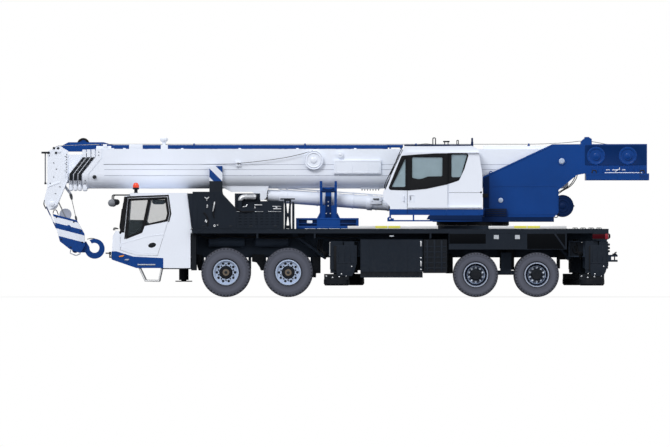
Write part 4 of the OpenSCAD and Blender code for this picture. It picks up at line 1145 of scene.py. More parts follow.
class CRANE_OT_operator_glazing(Operator):
    """Dark window band, panes and wipers of the operator's cab"""

    bl_idname = "crane.operator_glazing"
    bl_label = "Operator glazing"

    def execute(self, context):
        front = [(1269, 3176), (1425, 3190), (1425, 2396), (1013, 2405), (977, 2456)]
        rear = [(2285, 3235), (2734, 3244), (2777, 3188), (2682, 2880), (2561, 2619), (2285, 2530)]
        door = [(1404, 3189), (1640, 3208), (1994, 3228), (2304, 3232), (2304, 2534), (1820, 2430),
                (1442, 2396), (1404, 2397)]
        bm = bmesh.new()
        sheet(bm, [rounded(front, 30), rounded(grown(OP_FRONT, -6), 34)], (-1334.4, -1328), edge=1.5)
        sheet(bm, [rounded(rear, 40), rounded(grown(OP_REAR, -6), 34)], (-1334.4, -1328), edge=1.5)
        far = [rounded(BAND, 40), rounded(grown(OP_FRONT, -6), 34), rounded(grown(OP_REAR, -6), 34),
               rounded([(1500, 2646), (1500, 3154), (2208, 3154), (2208, 2646)], 34)]
        sheet(bm, far, (-431, -423), edge=2)
        lean = math.atan2(389.0, 830.0)
        tilt = Matrix.Translation(vec(900, 0, 2440)) @ Matrix.Rotation(lean, 4, "Y")
        ring = [rounded([(-1290, 0), (-470, 0), (-470, 960), (-1290, 960)], 60),
                rounded([(-1250, 40), (-510, 40), (-510, 915), (-1250, 915)], 45)]
        sheet(bm, ring, (-16, 6), edge=4, plane="YZ", at=tilt)
        for path, r in (([(-22, -1210, 0), (-40, -1205, 60), (-42, -1110, 420), (-40, -1050, 620)], 9),
                        ([(-28, -1140, 330), (-28, -1010, 840)], 7)):
            tube(bm, [tuple((tilt @ vec(*p)) * PER_M) for p in path], r)
        block(bm, (1396, 1403), (-1336, -1328), (1880, 2396), edge=2)
        piece("operator_band", bm, ["rubber"], "superstructure")
        bm = bmesh.new()
        sheet(bm, [rounded(door, 6), rounded(grown(OP_DOOR, -4), 34)], (-1383, -1375), edge=2)
        sheet(bm, [rounded(grown(OP_DOOR, -2), 36), rounded(grown(OP_DOOR, -12), 30)],
              (-1378, -1352), edge=3)
        piece("operator_door_band", bm, ["rubber"], "operator_door")
        bm = bmesh.new()
        sheet(bm, [rounded(grown(OP_DOOR, 4), 36)], (-1358, -1352), edge=1)
        piece("operator_door_pane", bm, ["grey_glass_painted_reflection"], "operator_door")
        return {"FINISHED"}


class CRANE_OT_operator_trim(Operator):
    """Handles, rails and roof fittings of the operator's cab"""

    bl_idname = "crane.operator_trim"
    bl_label = "Operator cab trim"

    def execute(self, context):
        bm = bmesh.new()
        sheet(bm, [rounded([(1432, 2140), (1432, 2300), (1570, 2300), (1570, 2140)], 20),
                   rounded([(1446, 2154), (1446, 2286), (1556, 2286), (1556, 2154)], 14)],
              (-1381, -1373), edge=2)
        rail(bm, [(1470, -1366, 2180), (1470, -1380, 2190), (1470, -1380, 2255), (1470, -1366, 2265)], 8,
             8, mat=1)
        piece("operator_handle", bm, ["white_paint", "grey_plastic"], "operator_door")
        bm = bmesh.new()
        rail(bm, [(1320, -1332, 2150), (1320, -1362, 2160), (1320, -1362, 2270), (1320, -1332, 2282)],
             16, 10)
        block(bm, (2318, 3060), (-1333, -1326), (2340, 2366), edge=2)
        block(bm, (2330, 3040), (-1334, -1326), (2348, 2358), edge=2, mat=1)
        block(bm, (3034, 3074), (-1334, -1326), (2336, 2372), edge=2, mat=2)
        piece("operator_rail", bm, ["white_paint", "grey_plastic", "black_plastic"], "superstructure")
        bm = bmesh.new()
        block(bm, (1330, 2880), (-1310, -450), (3394, 3426), edge=10, mat=2)
        for x0, x1, top, r in ((1962, 2046, 3578, 12), (2503, 2559, 3524, 10)):
            rail(bm, [(x0 + r, -1120, 3398), (x0 + r, -1120, top), (x1 - r, -1120, top),
                      (x1 - r, -1120, 3398)], 30, r, mat=1)
        block(bm, (2204, 2353), (-1180, -1060), (3478, 3512), edge=12, mat=1)
        for x in (2240, 2316):
            peg(bm, vec(x, -1120, 3400), (0, 0, 1), 10, 84, mat=1)
        tube(bm, [(1640, -1120, 3414), (1760, -1120, 3440), (1900, -1120, 3436), (1980, -1120, 3414)],
             9, mat=1)
        lathe(bm, [(0, 3380), (28, 3380), (28, 3480), (22, 3500), (22, 3566), (14, 3578), (0, 3580)],
              vec(2857, -1124, 0), (0, 0, 1), steps=20, mat=2)
        rail(bm, [(1290, -1290, 3370), (1180, -1320, 3150), (960, -1330, 2560), (900, -1330, 2420)], 40,
             9, mat=1)
        piece("operator_roof", bm, ["black_plastic", "dark_steel", "navy_paint_and_shade"], "superstructure")
        return {"FINISHED"}


def slot_plate(x):
    """Outline of the dark plate on the side of the boom collar that starts at x: painted shade of the gap
    between collars.
    """
    rise = (3142 - COLLAR_BEND_Z) * COLLAR_LEAN
    return [(x + 10, 2622), (x + 10, 2766), (x + 10 + rise, 3146), (x + 84 + rise, 3146), (x + 84, 2760),
            (x + 84, 2622)]


class CRANE_OT_boom_trim(Operator):
    """Collar plates and crease lines painted as shade, reel, guide, cable, jib wheel and front fittings of
    the boom
    """

    bl_idname = "crane.boom_trim"
    bl_label = "Boom trim"

    def execute(self, context):
        for k, body in SECTIONS:
            bm = bmesh.new()
            x = COLLAR_X - COLLAR_PITCH * k
            y = 330 - 4 * k
            for s in (LEFT, RIGHT):
                out = (0, s, 0)
                # Dark plate on the collar's side: painted shade of the gap between collars
                sheet(bm, [slot_plate(x)], (s * (y - 4), s * (y + 2)))
                for z in (2840, 2940, 3040):
                    lean = (z - COLLAR_BEND_Z) * COLLAR_LEAN
                    peg(bm, vec(x + 54 + lean, s * (y + 1), z), out, 9, 6, sides=6, mat=1)
                for z, inset in ((2560, 70), (2600, 46)):
                    peg(bm, vec(x + 41, s * (y - inset), z), out, 10, 20, sides=6, mat=1)
            block(bm, (x + 3, x + 90), (-236 + 6 * k, 236 - 6 * k), (2386, 2540), edge=34, mat=2, segments=4)
            piece("collar_shade_plates_%d" % k, bm, ["black_plastic", "grey_plastic", "white_paint"], body)
        bm = bmesh.new()
        # Grey lines along the boom's sides at its creases: painted shade
        for s in (LEFT, RIGHT):
            for z, y in ((2984, 330), (2869, 330), (2734, 328)):
                tube(bm, [(-5420, s * y, z), (4700, s * y, z)], 5, smooth=False, ring=1, mat=1)
            for x in range(-5000, 4700, 970):
                peg(bm, vec(x, s * 329, 2738), (0, s, 0), 9, 8, sides=12, edge=2)
        for x in range(-5000, 4400, 1300):
            block(bm, (x, x + 60), (-60, 60), (3328, 3352), edge=6)
        piece("boom_crease_shade_lines", bm, ["white_paint", "grey_metal_and_crease_shade"], "boom_base")
        bm = bmesh.new()
        hub = vec(-704, -410, 3082)
        lathe(bm, [(0, 0), (70, 0), (74, 12), (52, 24), (0, 26)], hub, (0, -1, 0))
        lathe(bm, [(150, 0), (176, 0), (176, 10), (168, 16), (158, 16), (150, 10)], hub, (0, -1, 0),
              steps=48, closed=True)
        lathe(bm, [(196, -6), (216, -6), (216, 10), (206, 16), (196, 10)], hub, (0, -1, 0), steps=56,
              closed=True)
        block(bm, (-716, -700), (-432, -410), (3060, 3160), edge=6)
        lathe(bm, [(0, 0), (30, 0), (34, 8), (24, 14), (0, 15)], vec(-112, -390, 3206), (0, -1, 0))
        for x in (-200, 160, 520, 760):
            block(bm, (x, x + 14), (-386, -378), (2790, 3066), edge=3)
        sheet(bm, [rounded([(-240, 2786), (806, 2786), (806, 3070), (-240, 3070)], 30),
                   rounded([(-216, 2810), (782, 2810), (782, 3046), (-216, 3046)], 24)],
              (-386, -378), edge=3)
        block(bm, (-2462, -2352), (-385, -368), (2940, 3062), edge=6)
        peg(bm, vec(-2407, -384, 3005), (0, -1, 0), 22, 18, mat=1)
        piece("boom_reel", bm, ["white_paint", "grey_plastic"], "boom_base")
        bm = bmesh.new()
        block(bm, (352, 800), (-130, 130), (2428, 2480), edge=6)
        for i in range(7):
            block(bm, (372 + 62 * i, 396 + 62 * i), (-130, 130), (2398, 2434), edge=4, mat=1)
        piece("boom_guide", bm, ["white_paint", "grey_plastic"], "boom_base")
        bm = bmesh.new()
        tube(bm, [(-720, -402, 3298), (-1100, -392, 3190), (-1700, -392, 3085), (-2395, -392, 3006)], 6)
        tube(bm, [(-2407, -392, 3005), (-3000, -338, 2990), (-4400, -336, 2988), (-5440, -336, 2988)],
             4, mat=1)
        piece("boom_cable", bm, ["rubber", "grey_plastic"], "boom_base")
        bm = bmesh.new()
        wheel_x, wheel_y, wheel_z = -5906, 620, 3443
        lathe(bm, [(92, -64), (136, -66), (142, -40), (142, 40), (136, 66), (92, 64)],
              vec(wheel_x, wheel_y, wheel_z), (0, 1, 0), steps=48, closed=True)
        for s in (LEFT, RIGHT):
            out = (0, s, 0)
            lathe(bm, [(0, 0), (34, 0), (38, 10), (26, 20), (0, 21)],
                  vec(wheel_x, wheel_y + s * 60, wheel_z), out, mat=1)
            for dx, dz in around(6, 76):
                peg(bm, vec(wheel_x + dx, wheel_y + s * 59, wheel_z + dz), out, 12, 8, mat=1)
        piece("jib_wheel", bm, ["rubber", "blue_paint"], "boom_base")
        bm = bmesh.new()
        block(bm, (940, 1310), (560, 680), (3366, 3431), edge=8)
        for x in (1000, 1240):
            block(bm, (x, x + 40), (320, 640), (3340, 3372), edge=6)
        piece("jib_tail", bm, ["blue_paint"], "boom_base")
        bm = bmesh.new()
        for s in (LEFT, RIGHT):
            lathe(bm, [(0, 0), (40, 0), (44, 10), (30, 22), (0, 24)], vec(-5640, s * 344, 2700),
                  (0, s, 0), mat=1)
            for y, z in ((290, 2560), (318, 2620)):
                peg(bm, vec(-5851, s * y, z), (0, s, 0), 12, 26, sides=6, mat=1)
            for z in (3190, 3260):
                peg(bm, vec(-5545, s * 343, z), (0, s, 0), 12, 8, sides=6, mat=1)
        block(bm, (-5560, -5200), (-300, 300), (3332, 3350), edge=6)
        for s in (LEFT, RIGHT):
            block(bm, (-5600, -5270), (s * 200, s * 260), (3340, 3400), edge=8)
        block(bm, (-5908, -5806), (-240, 240), (2380, 2540), edge=36, segments=4)
        for x0, x1 in ((-5448, -5363), (-4862, -4558)):
            block(bm, (x0, x1), (-320, -130), (3326, 3438), edge=8)
        block(bm, (-4148, -3990), (-310, -150), (3326, 3420), edge=10)
        lathe(bm, [(0, 0), (34, 0), (40, 60), (78, 96), (88, 130), (80, 160), (40, 176), (0, 178)],
              vec(-4076, -230, 3418), (0, 0, 1), steps=32)
        piece("boom_front_fittings", bm, ["white_paint", "dark_steel"], "boom_base")
        return {"FINISHED"}


class CRANE_OT_head_trim(Operator):
    """Ribs, guards and sheave rims of the boom head"""

    bl_idname = "crane.head_trim"
    bl_label = "Boom head trim"

    def execute(self, context):
        bm = bmesh.new()
        for s in (LEFT, RIGHT):
            y = s * 238
            out = (0, s, 0)
            lathe(bm, [(0, 0), (52, 0), (56, 8), (56, 22), (44, 30), (0, 32)],
                  vec(LOWER_SHEAVE[0], y, LOWER_SHEAVE[1]), out)
            lathe(bm, [(0, 0), (34, 0), (38, 6), (38, 16), (28, 24), (0, 26)],
                  vec(HEAD_SHEAVE[0], y, HEAD_SHEAVE[1]), out)
            for x, z in ((-6660, 3180), (-6560, 3020), (-6500, 2880), (-6560, 2700), (-6640, 2560),
                         (-6420, 2480), (-6300, 3160), (-6300, 3000), (-6300, 2840), (-6520, 2330)):
                peg(bm, vec(x, y, z), out, 13, 10, sides=6, edge=2, mat=1)
            for x, z in ((-6509, 3245), (-6558, 3352), (-6462, 3350)):
                peg(bm, vec(x, y, z), out, 27, 14, sides=20, edge=3, mat=2)
            # Short dark blocks in a column down the head's side: painted shade lines
            for z in range(2800, 3220, 56):
                block(bm, (-6276, -6262), (y, y + s * 9), (z, z + 26), edge=2, mat=1)
            sheet(bm, [[(-6690, 2470), (-6690, 2500), (-6420, 2600), (-6415, 2572)]],
                  (y - s * 2, y + s * 12), edge=3)
            sheet(bm, [[(-6270, 2640), (-6244, 2633), (-6464, 2100), (-6490, 2108)]],
                  (y - s * 2, y + s * 12), edge=3)
            sheet(bm, [[(-6310, 3280), (-6286, 3290), (-6286, 2700), (-6310, 2690)]],
                  (y - s * 2, y + s * 10), edge=3)
            rail(bm, [(-6770, y, 2180), (-6790, y, 2090), (-6740, y, 1985)], 30, 9, mat=1)
        for y in (-105, -35, 35, 105):
            lathe(bm, [(118, -20), (136, -24), (138, -18), (126, 0), (138, 18), (136, 24), (118, 20)],
                  vec(LOWER_SHEAVE[0], y, LOWER_SHEAVE[1]), (0, 1, 0), steps=40, mat=2, closed=True)
        for y in (-90, 90):
            lathe(bm, [(100, -18), (119, -22), (121, -16), (110, 0), (121, 16), (119, 22), (100, 18)],
                  vec(HEAD_SHEAVE[0], y, HEAD_SHEAVE[1]), (0, 1, 0), steps=40, mat=2, closed=True)
        tube(bm, [(-6680, -170, 2010), (-6680, 170, 2010)], 12, mat=1, smooth=False)
        block(bm, (-6838, -6650), (-262, -230), (3228, 3272), edge=6, mat=2)
        block(bm, (-6772, -6728), (-262, -226), (2536, 2580), edge=8, mat=2)
        tube(bm, [(-6330, -212, 2500), (-6330, 212, 2500)], 24, mat=1, smooth=False)
        sheet(bm, [rounded([(-6372, 2520), (-6330, 2546), (-6286, 2510), (-6158, 2330), (-6166, 2296),
                            (-6200, 2294)], 20)], (-16, 16), edge=3)
        piece("head_fittings", bm, ["white_paint", "dark_steel", "black_plastic"], "boom_head")
        return {"FINISHED"}


class CRANE_OT_ropes(Operator):
    """Winch coils, hoist rope with its guides and the dead end"""

    bl_idname = "crane.ropes"
    bl_label = "Ropes"

    def execute(self, context):
        bm = bmesh.new()
        turns, steps, drum, half = 24, 16, 166.0, 290.0
        for x in WINCH_X:
            coil = []
            for i in range(turns * steps + 1):
                a = math.tau * i / steps
                y = -half + 2 * half * i / (turns * steps)
                coil.append((x + drum * math.cos(a), y, WINCH_Z + drum * math.sin(a)))
            tube(bm, coil, 12, smooth=False, ring=1)
        lead = ((WINCH_X[1], 3353), (6000, 3420), (5500, 3510), (5434, 3516))
        tube(bm, [(x, ROPE_Y, z) for x, z in lead], 8)
        piece("winch_coils", bm, ["rope_steel"], "superstructure")
        bm = bmesh.new()
        foot = ((5460, 3515), (5300, 3510), (5000, 3478), (4700, 3458), (4400, 3446), (4100, ROPE_Z))
        tube(bm, [(x, ROPE_Y, z) for x, z in foot], 8)
        piece("hoist_rope_foot", bm, ["rope_steel"],
              ("superstructure", "boom_base", (5.3, -0.09, 3.5), (4.45, -0.09, 3.45)))
        bm = bmesh.new()
        tube(bm, [(4140, ROPE_Y, ROPE_Z), (-5560, ROPE_Y, ROPE_Z)], 8, smooth=False)
        for x in (4140, 1600, -900, -3400, -5520):
            for y in (ROPE_Y - 40, ROPE_Y + 40):
                block(bm, (x - 18, x + 18), (y - 6, y + 6), (3328, 3458), edge=4, mat=1)
            lathe(bm, [(0, -34), (30, -34), (24, 0), (30, 34), (0, 34)], vec(x, ROPE_Y, 3406), (0, 1, 0),
                  steps=24, mat=2)
        piece("hoist_rope_base", bm, ["rope_steel", "blue_paint", "dark_steel"], "boom_base")
        for k, body in SECTIONS:
            bm = bmesh.new()
            start = -5620 - COLLAR_PITCH * k
            run = [(start, ROPE_Y, ROPE_Z - 6 * k), (-5400, ROPE_Y, ROPE_Z),
                   (start + STROKE, ROPE_Y, ROPE_Z)]
            tube(bm, run, 7.6 - 0.4 * k, smooth=False)
            piece("hoist_rope_%d" % k, bm, ["rope_steel"], body)
        bm = bmesh.new()
        wrap = 126.0
        arc = [(HEAD_SHEAVE[0] + wrap * math.cos(a), ROPE_Y, HEAD_SHEAVE[1] + wrap * math.sin(a))
               for a in [math.radians(d) for d in range(84, 196, 8)]]
        top = [(1900, ROPE_Y, ROPE_Z), (-5560, ROPE_Y, ROPE_Z)]
        tube(bm, top + arc + [(-6640, -95, 2700), (-6722, -100, 2160)], 6, smooth=False)
        piece("hoist_rope_head", bm, ["rope_steel"], "boom_head")
        bm = bmesh.new()
        tube(bm, [(-6188, 0, 2330), (-6140, 0, 2120), (-6052, 0, 1730)], 8, smooth=False)
        lathe(bm, [(0, -60), (20, -60), (34, 0), (34, 60), (16, 90), (0, 92)], vec(-6168, 0, 2250),
              (-0.23, 0, 0.97), mat=1)
        lathe(bm, [(0, -50), (18, -50), (26, 0), (16, 60), (0, 62)], vec(-6062, 0, 1775),
              (0.22, 0, -0.97), mat=1)
        piece("dead_end", bm, ["rope_steel", "cast_iron"],
              ("boom_head", "hook_block", (-6.19, 0.0, 2.33), (-6.08, 0.0, 1.9)))
        return {"FINISHED"}


class CRANE_OT_hook_trim(Operator):
    """Cheek bolts, sheaves, guard and safety latch of the hook block"""

    bl_idname = "crane.hook_trim"
    bl_label = "Hook block trim"

    def execute(self, context):
        bm = bmesh.new()
        for s in (LEFT, RIGHT):
            out = (0, s, 0)
            for x, z, r in ((-6230, 1560, 60), (-6500, 1800, 18), (-6110, 1690, 18), (-5960, 1480, 18),
                            (-5920, 1230, 18), (-6180, 1120, 18), (-6390, 1300, 18)):
                lathe(bm, [(0, 0), (r, 0), (r, 8), (r * 0.7, 14), (0, 15)], vec(x, s * 149, z), out,
                      steps=24, mat=1 if r < 30 else 0)
        rail(bm, [(-6580, -60, 1880), (-6560, -60, 1960), (-6500, -60, 1960), (-6460, -60, 1850)], 30,
             10, mat=1)
        tube(bm, [(-5810, 0, 1300), (-5700, 0, 1320), (-5610, 0, 1300)], 9, mat=1)
        rail(bm, [(-6180, 0, 1060), (-6200, 0, 985), (-6060, 0, 930), (-5960, 0, 975)], 30, 12, mat=2)
        peg(bm, vec(-5905, -80, 1130), (0, 1, 0), 34, 160, sides=24, edge=4)
        for y in (-90, -30, 30, 90):
            lathe(bm, [(0, -18), (112, -18), (130, -24), (134, -18), (118, 0), (134, 18), (130, 24),
                       (112, 18), (0, 18)], vec(-6300, y, 1858), (0, 1, 0), steps=48, mat=3)
        piece("hook_fittings", bm, ["blue_paint", "dark_steel", "white_paint", "grey_metal_and_crease_shade"], "hook_block")
        return {"FINISHED"}


class CRANE_OT_engine_bay(Operator):
    """Louvres, exhaust, pipes and hoses of the engine hood"""

    bl_idname = "crane.engine_bay"
    bl_label = "Engine bay"

    def execute(self, context):
        bm = bmesh.new()
        for s in (LEFT, RIGHT):
            for i in range(4):
                z = 1640 + i * 62
                block(bm, (-2390, -1470), (s * 1288, s * 1299), (z, z + 30), edge=5)
            for x in (-2440, -1980, -1440):
                block(bm, (x, x + 14), (s * 1296, s * 1303), (1560, 1990), edge=3)
            for x in (-3330, -2900):
                block(bm, (x, x + 10), (s * 1296, s * 1303), (1560, 2330), edge=3)
            block(bm, (-3425, -1379), (s * 1290, s * 1304), (1538, 1556), edge=4)
            sheet(bm, [[(-3532, 2330), (-3420, 2330), (-3420, 1545), (-3434, 1545)]],
                  (s * 1280, s * 1297), edge=2)
            for x in (-3200, -2600, -2150, -1600):
                block(bm, (x, x + 70), (s * 1298, s * 1306), (1586, 1606), edge=4, mat=1)
        piece("hood_louvres", bm, ["slate_paint", "dark_steel"], "carrier")
        bm = bmesh.new()
        y = -1265
        for x in (-2225, -2045):
            lathe(bm, [(54, -10), (64, -10), (64, 14), (54, 14)], vec(x, -1250, 2250), (1, 0, 0),
                  closed=True)
        for i in range(8):
            lathe(bm, [(54, -8), (60, 0), (54, 8)], vec(-2190 + i * 18, -1250, 2250), (1, 0, 0), steps=24)
        lathe(bm, [(50, 0), (62, 0), (64, 30), (50, 30)], vec(-2000, -1250, 2250), (1, 0, 0), mat=1,
              closed=True)
        for path, r in (([(-3150, y - 42, 2244), (-3105, y - 50, 2212), (-3060, y - 42, 2244)], 15),
                        ([(-3105, y - 46, 2212), (-3108, y - 46, 2168)], 12),
                        ([(-3097, y - 44, 2076), (-3094, y - 48, 2040), (-3100, y - 44, 2006)], 17),
                        ([(-2930, y - 42, 2142), (-2944, y - 54, 2050), (-2966, y - 46, 1928)], 17)):
            tube(bm, path, r)
        for x, z, r in ((-3120, 1706, 30), (-2932, 1604, 26), (-2862, 1618, 17)):
            lathe(bm, [(r * 0.4, 0), (r, 0), (r, 10), (r * 0.7, 15), (r * 0.4, 12)], vec(x, -1298, z),
                  (0, -1, 0), steps=24, closed=True)
        for x0, x1, z0, z1 in ((-2300, -2250, 2020, 2042), (-2035, -1862, 2060, 2084),
                               (-2035, -2010, 1990, 2030), (-1631, -1433, 2034, 2046),
                               (-1615, -1433, 1972, 1996), (-1560, -1520, 1990, 2030),
                               (-2440, -2250, 1918, 1926), (-2030, -1840, 1918, 1926),
                               (-1730, -1433, 1918, 1928)):
            block(bm, (x0, x1), (-1312, -1297), (z0, z1), edge=4)
        tube(bm, [(-2252, -1306, 2030), (-2222, -1314, 2046), (-2194, -1306, 2080)], 12)
        piece("engine_pipes", bm, ["silver_metal", "black_plastic"], "carrier")
        bm = bmesh.new()
        for path in ([(-3180, -1304, 1900), (-3120, -1320, 1840), (-3080, -1312, 1700),
                      (-3090, -1304, 1600)], [(-2960, -1304, 2100), (-2940, -1320, 2000),
                                              (-2960, -1314, 1880), (-2940, -1304, 1780)],
                     [(-2450, -1304, 2000), (-2350, -1318, 1930), (-2200, -1318, 1920),
                      (-2050, -1304, 1930)]):
            tube(bm, path, 13)
        piece("engine_hoses", bm, ["rubber"], "carrier")
        return {"FINISHED"}


class CRANE_OT_deck_trim(Operator):
    """Step pads, edge strips and tie points of the deck"""

    bl_idname = "crane.deck_trim"
    bl_label = "Deck trim"

    def execute(self, context):
        bm = bmesh.new()
        for s in (LEFT, RIGHT):
            for x0, x1 in ((682, 950), (974, 1242), (3802, 4080), (4100, 4378)):
                block(bm, (x0, x1), (s * 1176, s * 1374), (1546, 1601), edge=4)
        piece("step_pads", bm, ["yellow_grip"], "carrier")
        bm = bmesh.new()
        for s in (LEFT, RIGHT):
            for x0, x1 in ((60, 676), (1248, 2076), (3224, 3796), (4384, 4976)):
                block(bm, (x0, x1), (s * 1366, s * 1374), (1540, 1599), edge=3)
            for x in range(-900, 200, 270):
                block(bm, (x, x + 240), (s * 1140, s * 1360), (1534, 1542), edge=3)
        for x in range(4560, 5800, 62):
            block(bm, (x, x + 30), (-1000, 1000), (1534, 1541), edge=3)
        piece("tread_edges", bm, ["tread_plate"], "carrier")
        bm = bmesh.new()
        for s in (LEFT, RIGHT):
            block(bm, (-3472, 5922), (s * 1371, s * 1379), (1434, 1446), edge=3)
            block(bm, (-3472, 5922), (s * 1371, s * 1379), (1518, 1530), edge=3)
            for x in range(-3300, 5900, 800):
                block(bm, (x, x + 60), (s * 1371, s * 1378), (1440, 1524), edge=3)
            for x in (5150, 5330, 5510, 5690):
                rail(bm, [(x, s * 1330, 1535), (x, s * 1330, 1556), (x + 70, s * 1330, 1556),
                          (x + 70, s * 1330, 1535)], 14, 7, mat=1)
        piece("deck_edges", bm, ["slate_paint", "dark_steel"], "carrier")
        return {"FINISHED"}


class CRANE_OT_support_trim(Operator):
    """Inner panels, ribs, bolts and stand plate of the boom supports"""

    bl_idname = "crane.support_trim"
    bl_label = "Boom support trim"

    def execute(self, context):
        bm = bmesh.new()
        for s in (LEFT, RIGHT):
            sheet(bm, [rounded([(-447, 1790), (-305, 1790), (-305, 2268), (-447, 2268)], 10)],
                  (s * 428, s * 436), edge=2)
            for x0, x1 in ((-1036, -634), (-106, 246)):
                block(bm, (x0, x1), (s * 960, s * 970), (1604, 1731), edge=3)
            sheet(bm, [rounded([(-510, 2400), (-500, 2462), (-420, 2428), (-374, 2424), (-326, 2428),
                                (-248, 2462), (-238, 2400)], 10)], (s * 428, s * 435), edge=2)
            block(bm, (-540, -207), (s * 428, s * 434), (2352, 2392), edge=3)
        piece("support_panels", bm, ["navy_paint_and_shade"], "carrier")
        bm = bmesh.new()
        for s in (LEFT, RIGHT):
            for x in (-562, -455, -301, -194):
                block(bm, (x - 5, x + 13), (s * 428, s * 440),
                      (1780, 2060 if -500 < x < -250 else 2340), edge=3)
            for x0, x1 in ((-1050, -600), (-150, 250)):
                block(bm, (x0, x1), (s * 996, s * 1004), (1644, 1656), edge=3)
            block(bm, (-1098, 304), (s * 996, s * 1010), (1742, 1774), edge=4)
            block(bm, (-1098, 304), (s * 996, s * 1010), (1540, 1590), edge=4)
            for x in (-590, -150):
                sheet(bm, [[(x - 40, 1776), (x + 40, 1776), (x + (24 if x < -400 else -24), 1900)]],
                      (s * 380, s * 392), edge=3)
            for x, z in ((-376, 2140), (-420, 1880), (-330, 1880), (-376, 2050)):
                peg(bm, vec(x, s * 435, z), (0, s, 0), 13, 10, sides=12, mat=1)
            block(bm, (-856, -734), (s * 996, s * 1012), (1660, 1722), edge=6, mat=2)
        piece("support_ribs", bm, ["blue_paint", "silver_metal", "white_paint"], "carrier")
        bm = bmesh.new()
        upper = [(-1330, 2160), (-1246, 2160), (-1276, 1884), (-1300, 1884)]
        lower = [(-1298, 1806), (-1278, 1806), (-1250, 1611), (-1322, 1611)]
        for s in (LEFT, RIGHT):
            sheet(bm, [[(-1358, 1540), (-1358, 2196), (-1222, 2196), (-1222, 1540)], rounded(upper, 16),
                       rounded(lower, 16)], (s * 1241, s * 1259), edge=3)
        piece("stand_plate", bm, ["black_paint"], "carrier")
        return {"FINISHED"}


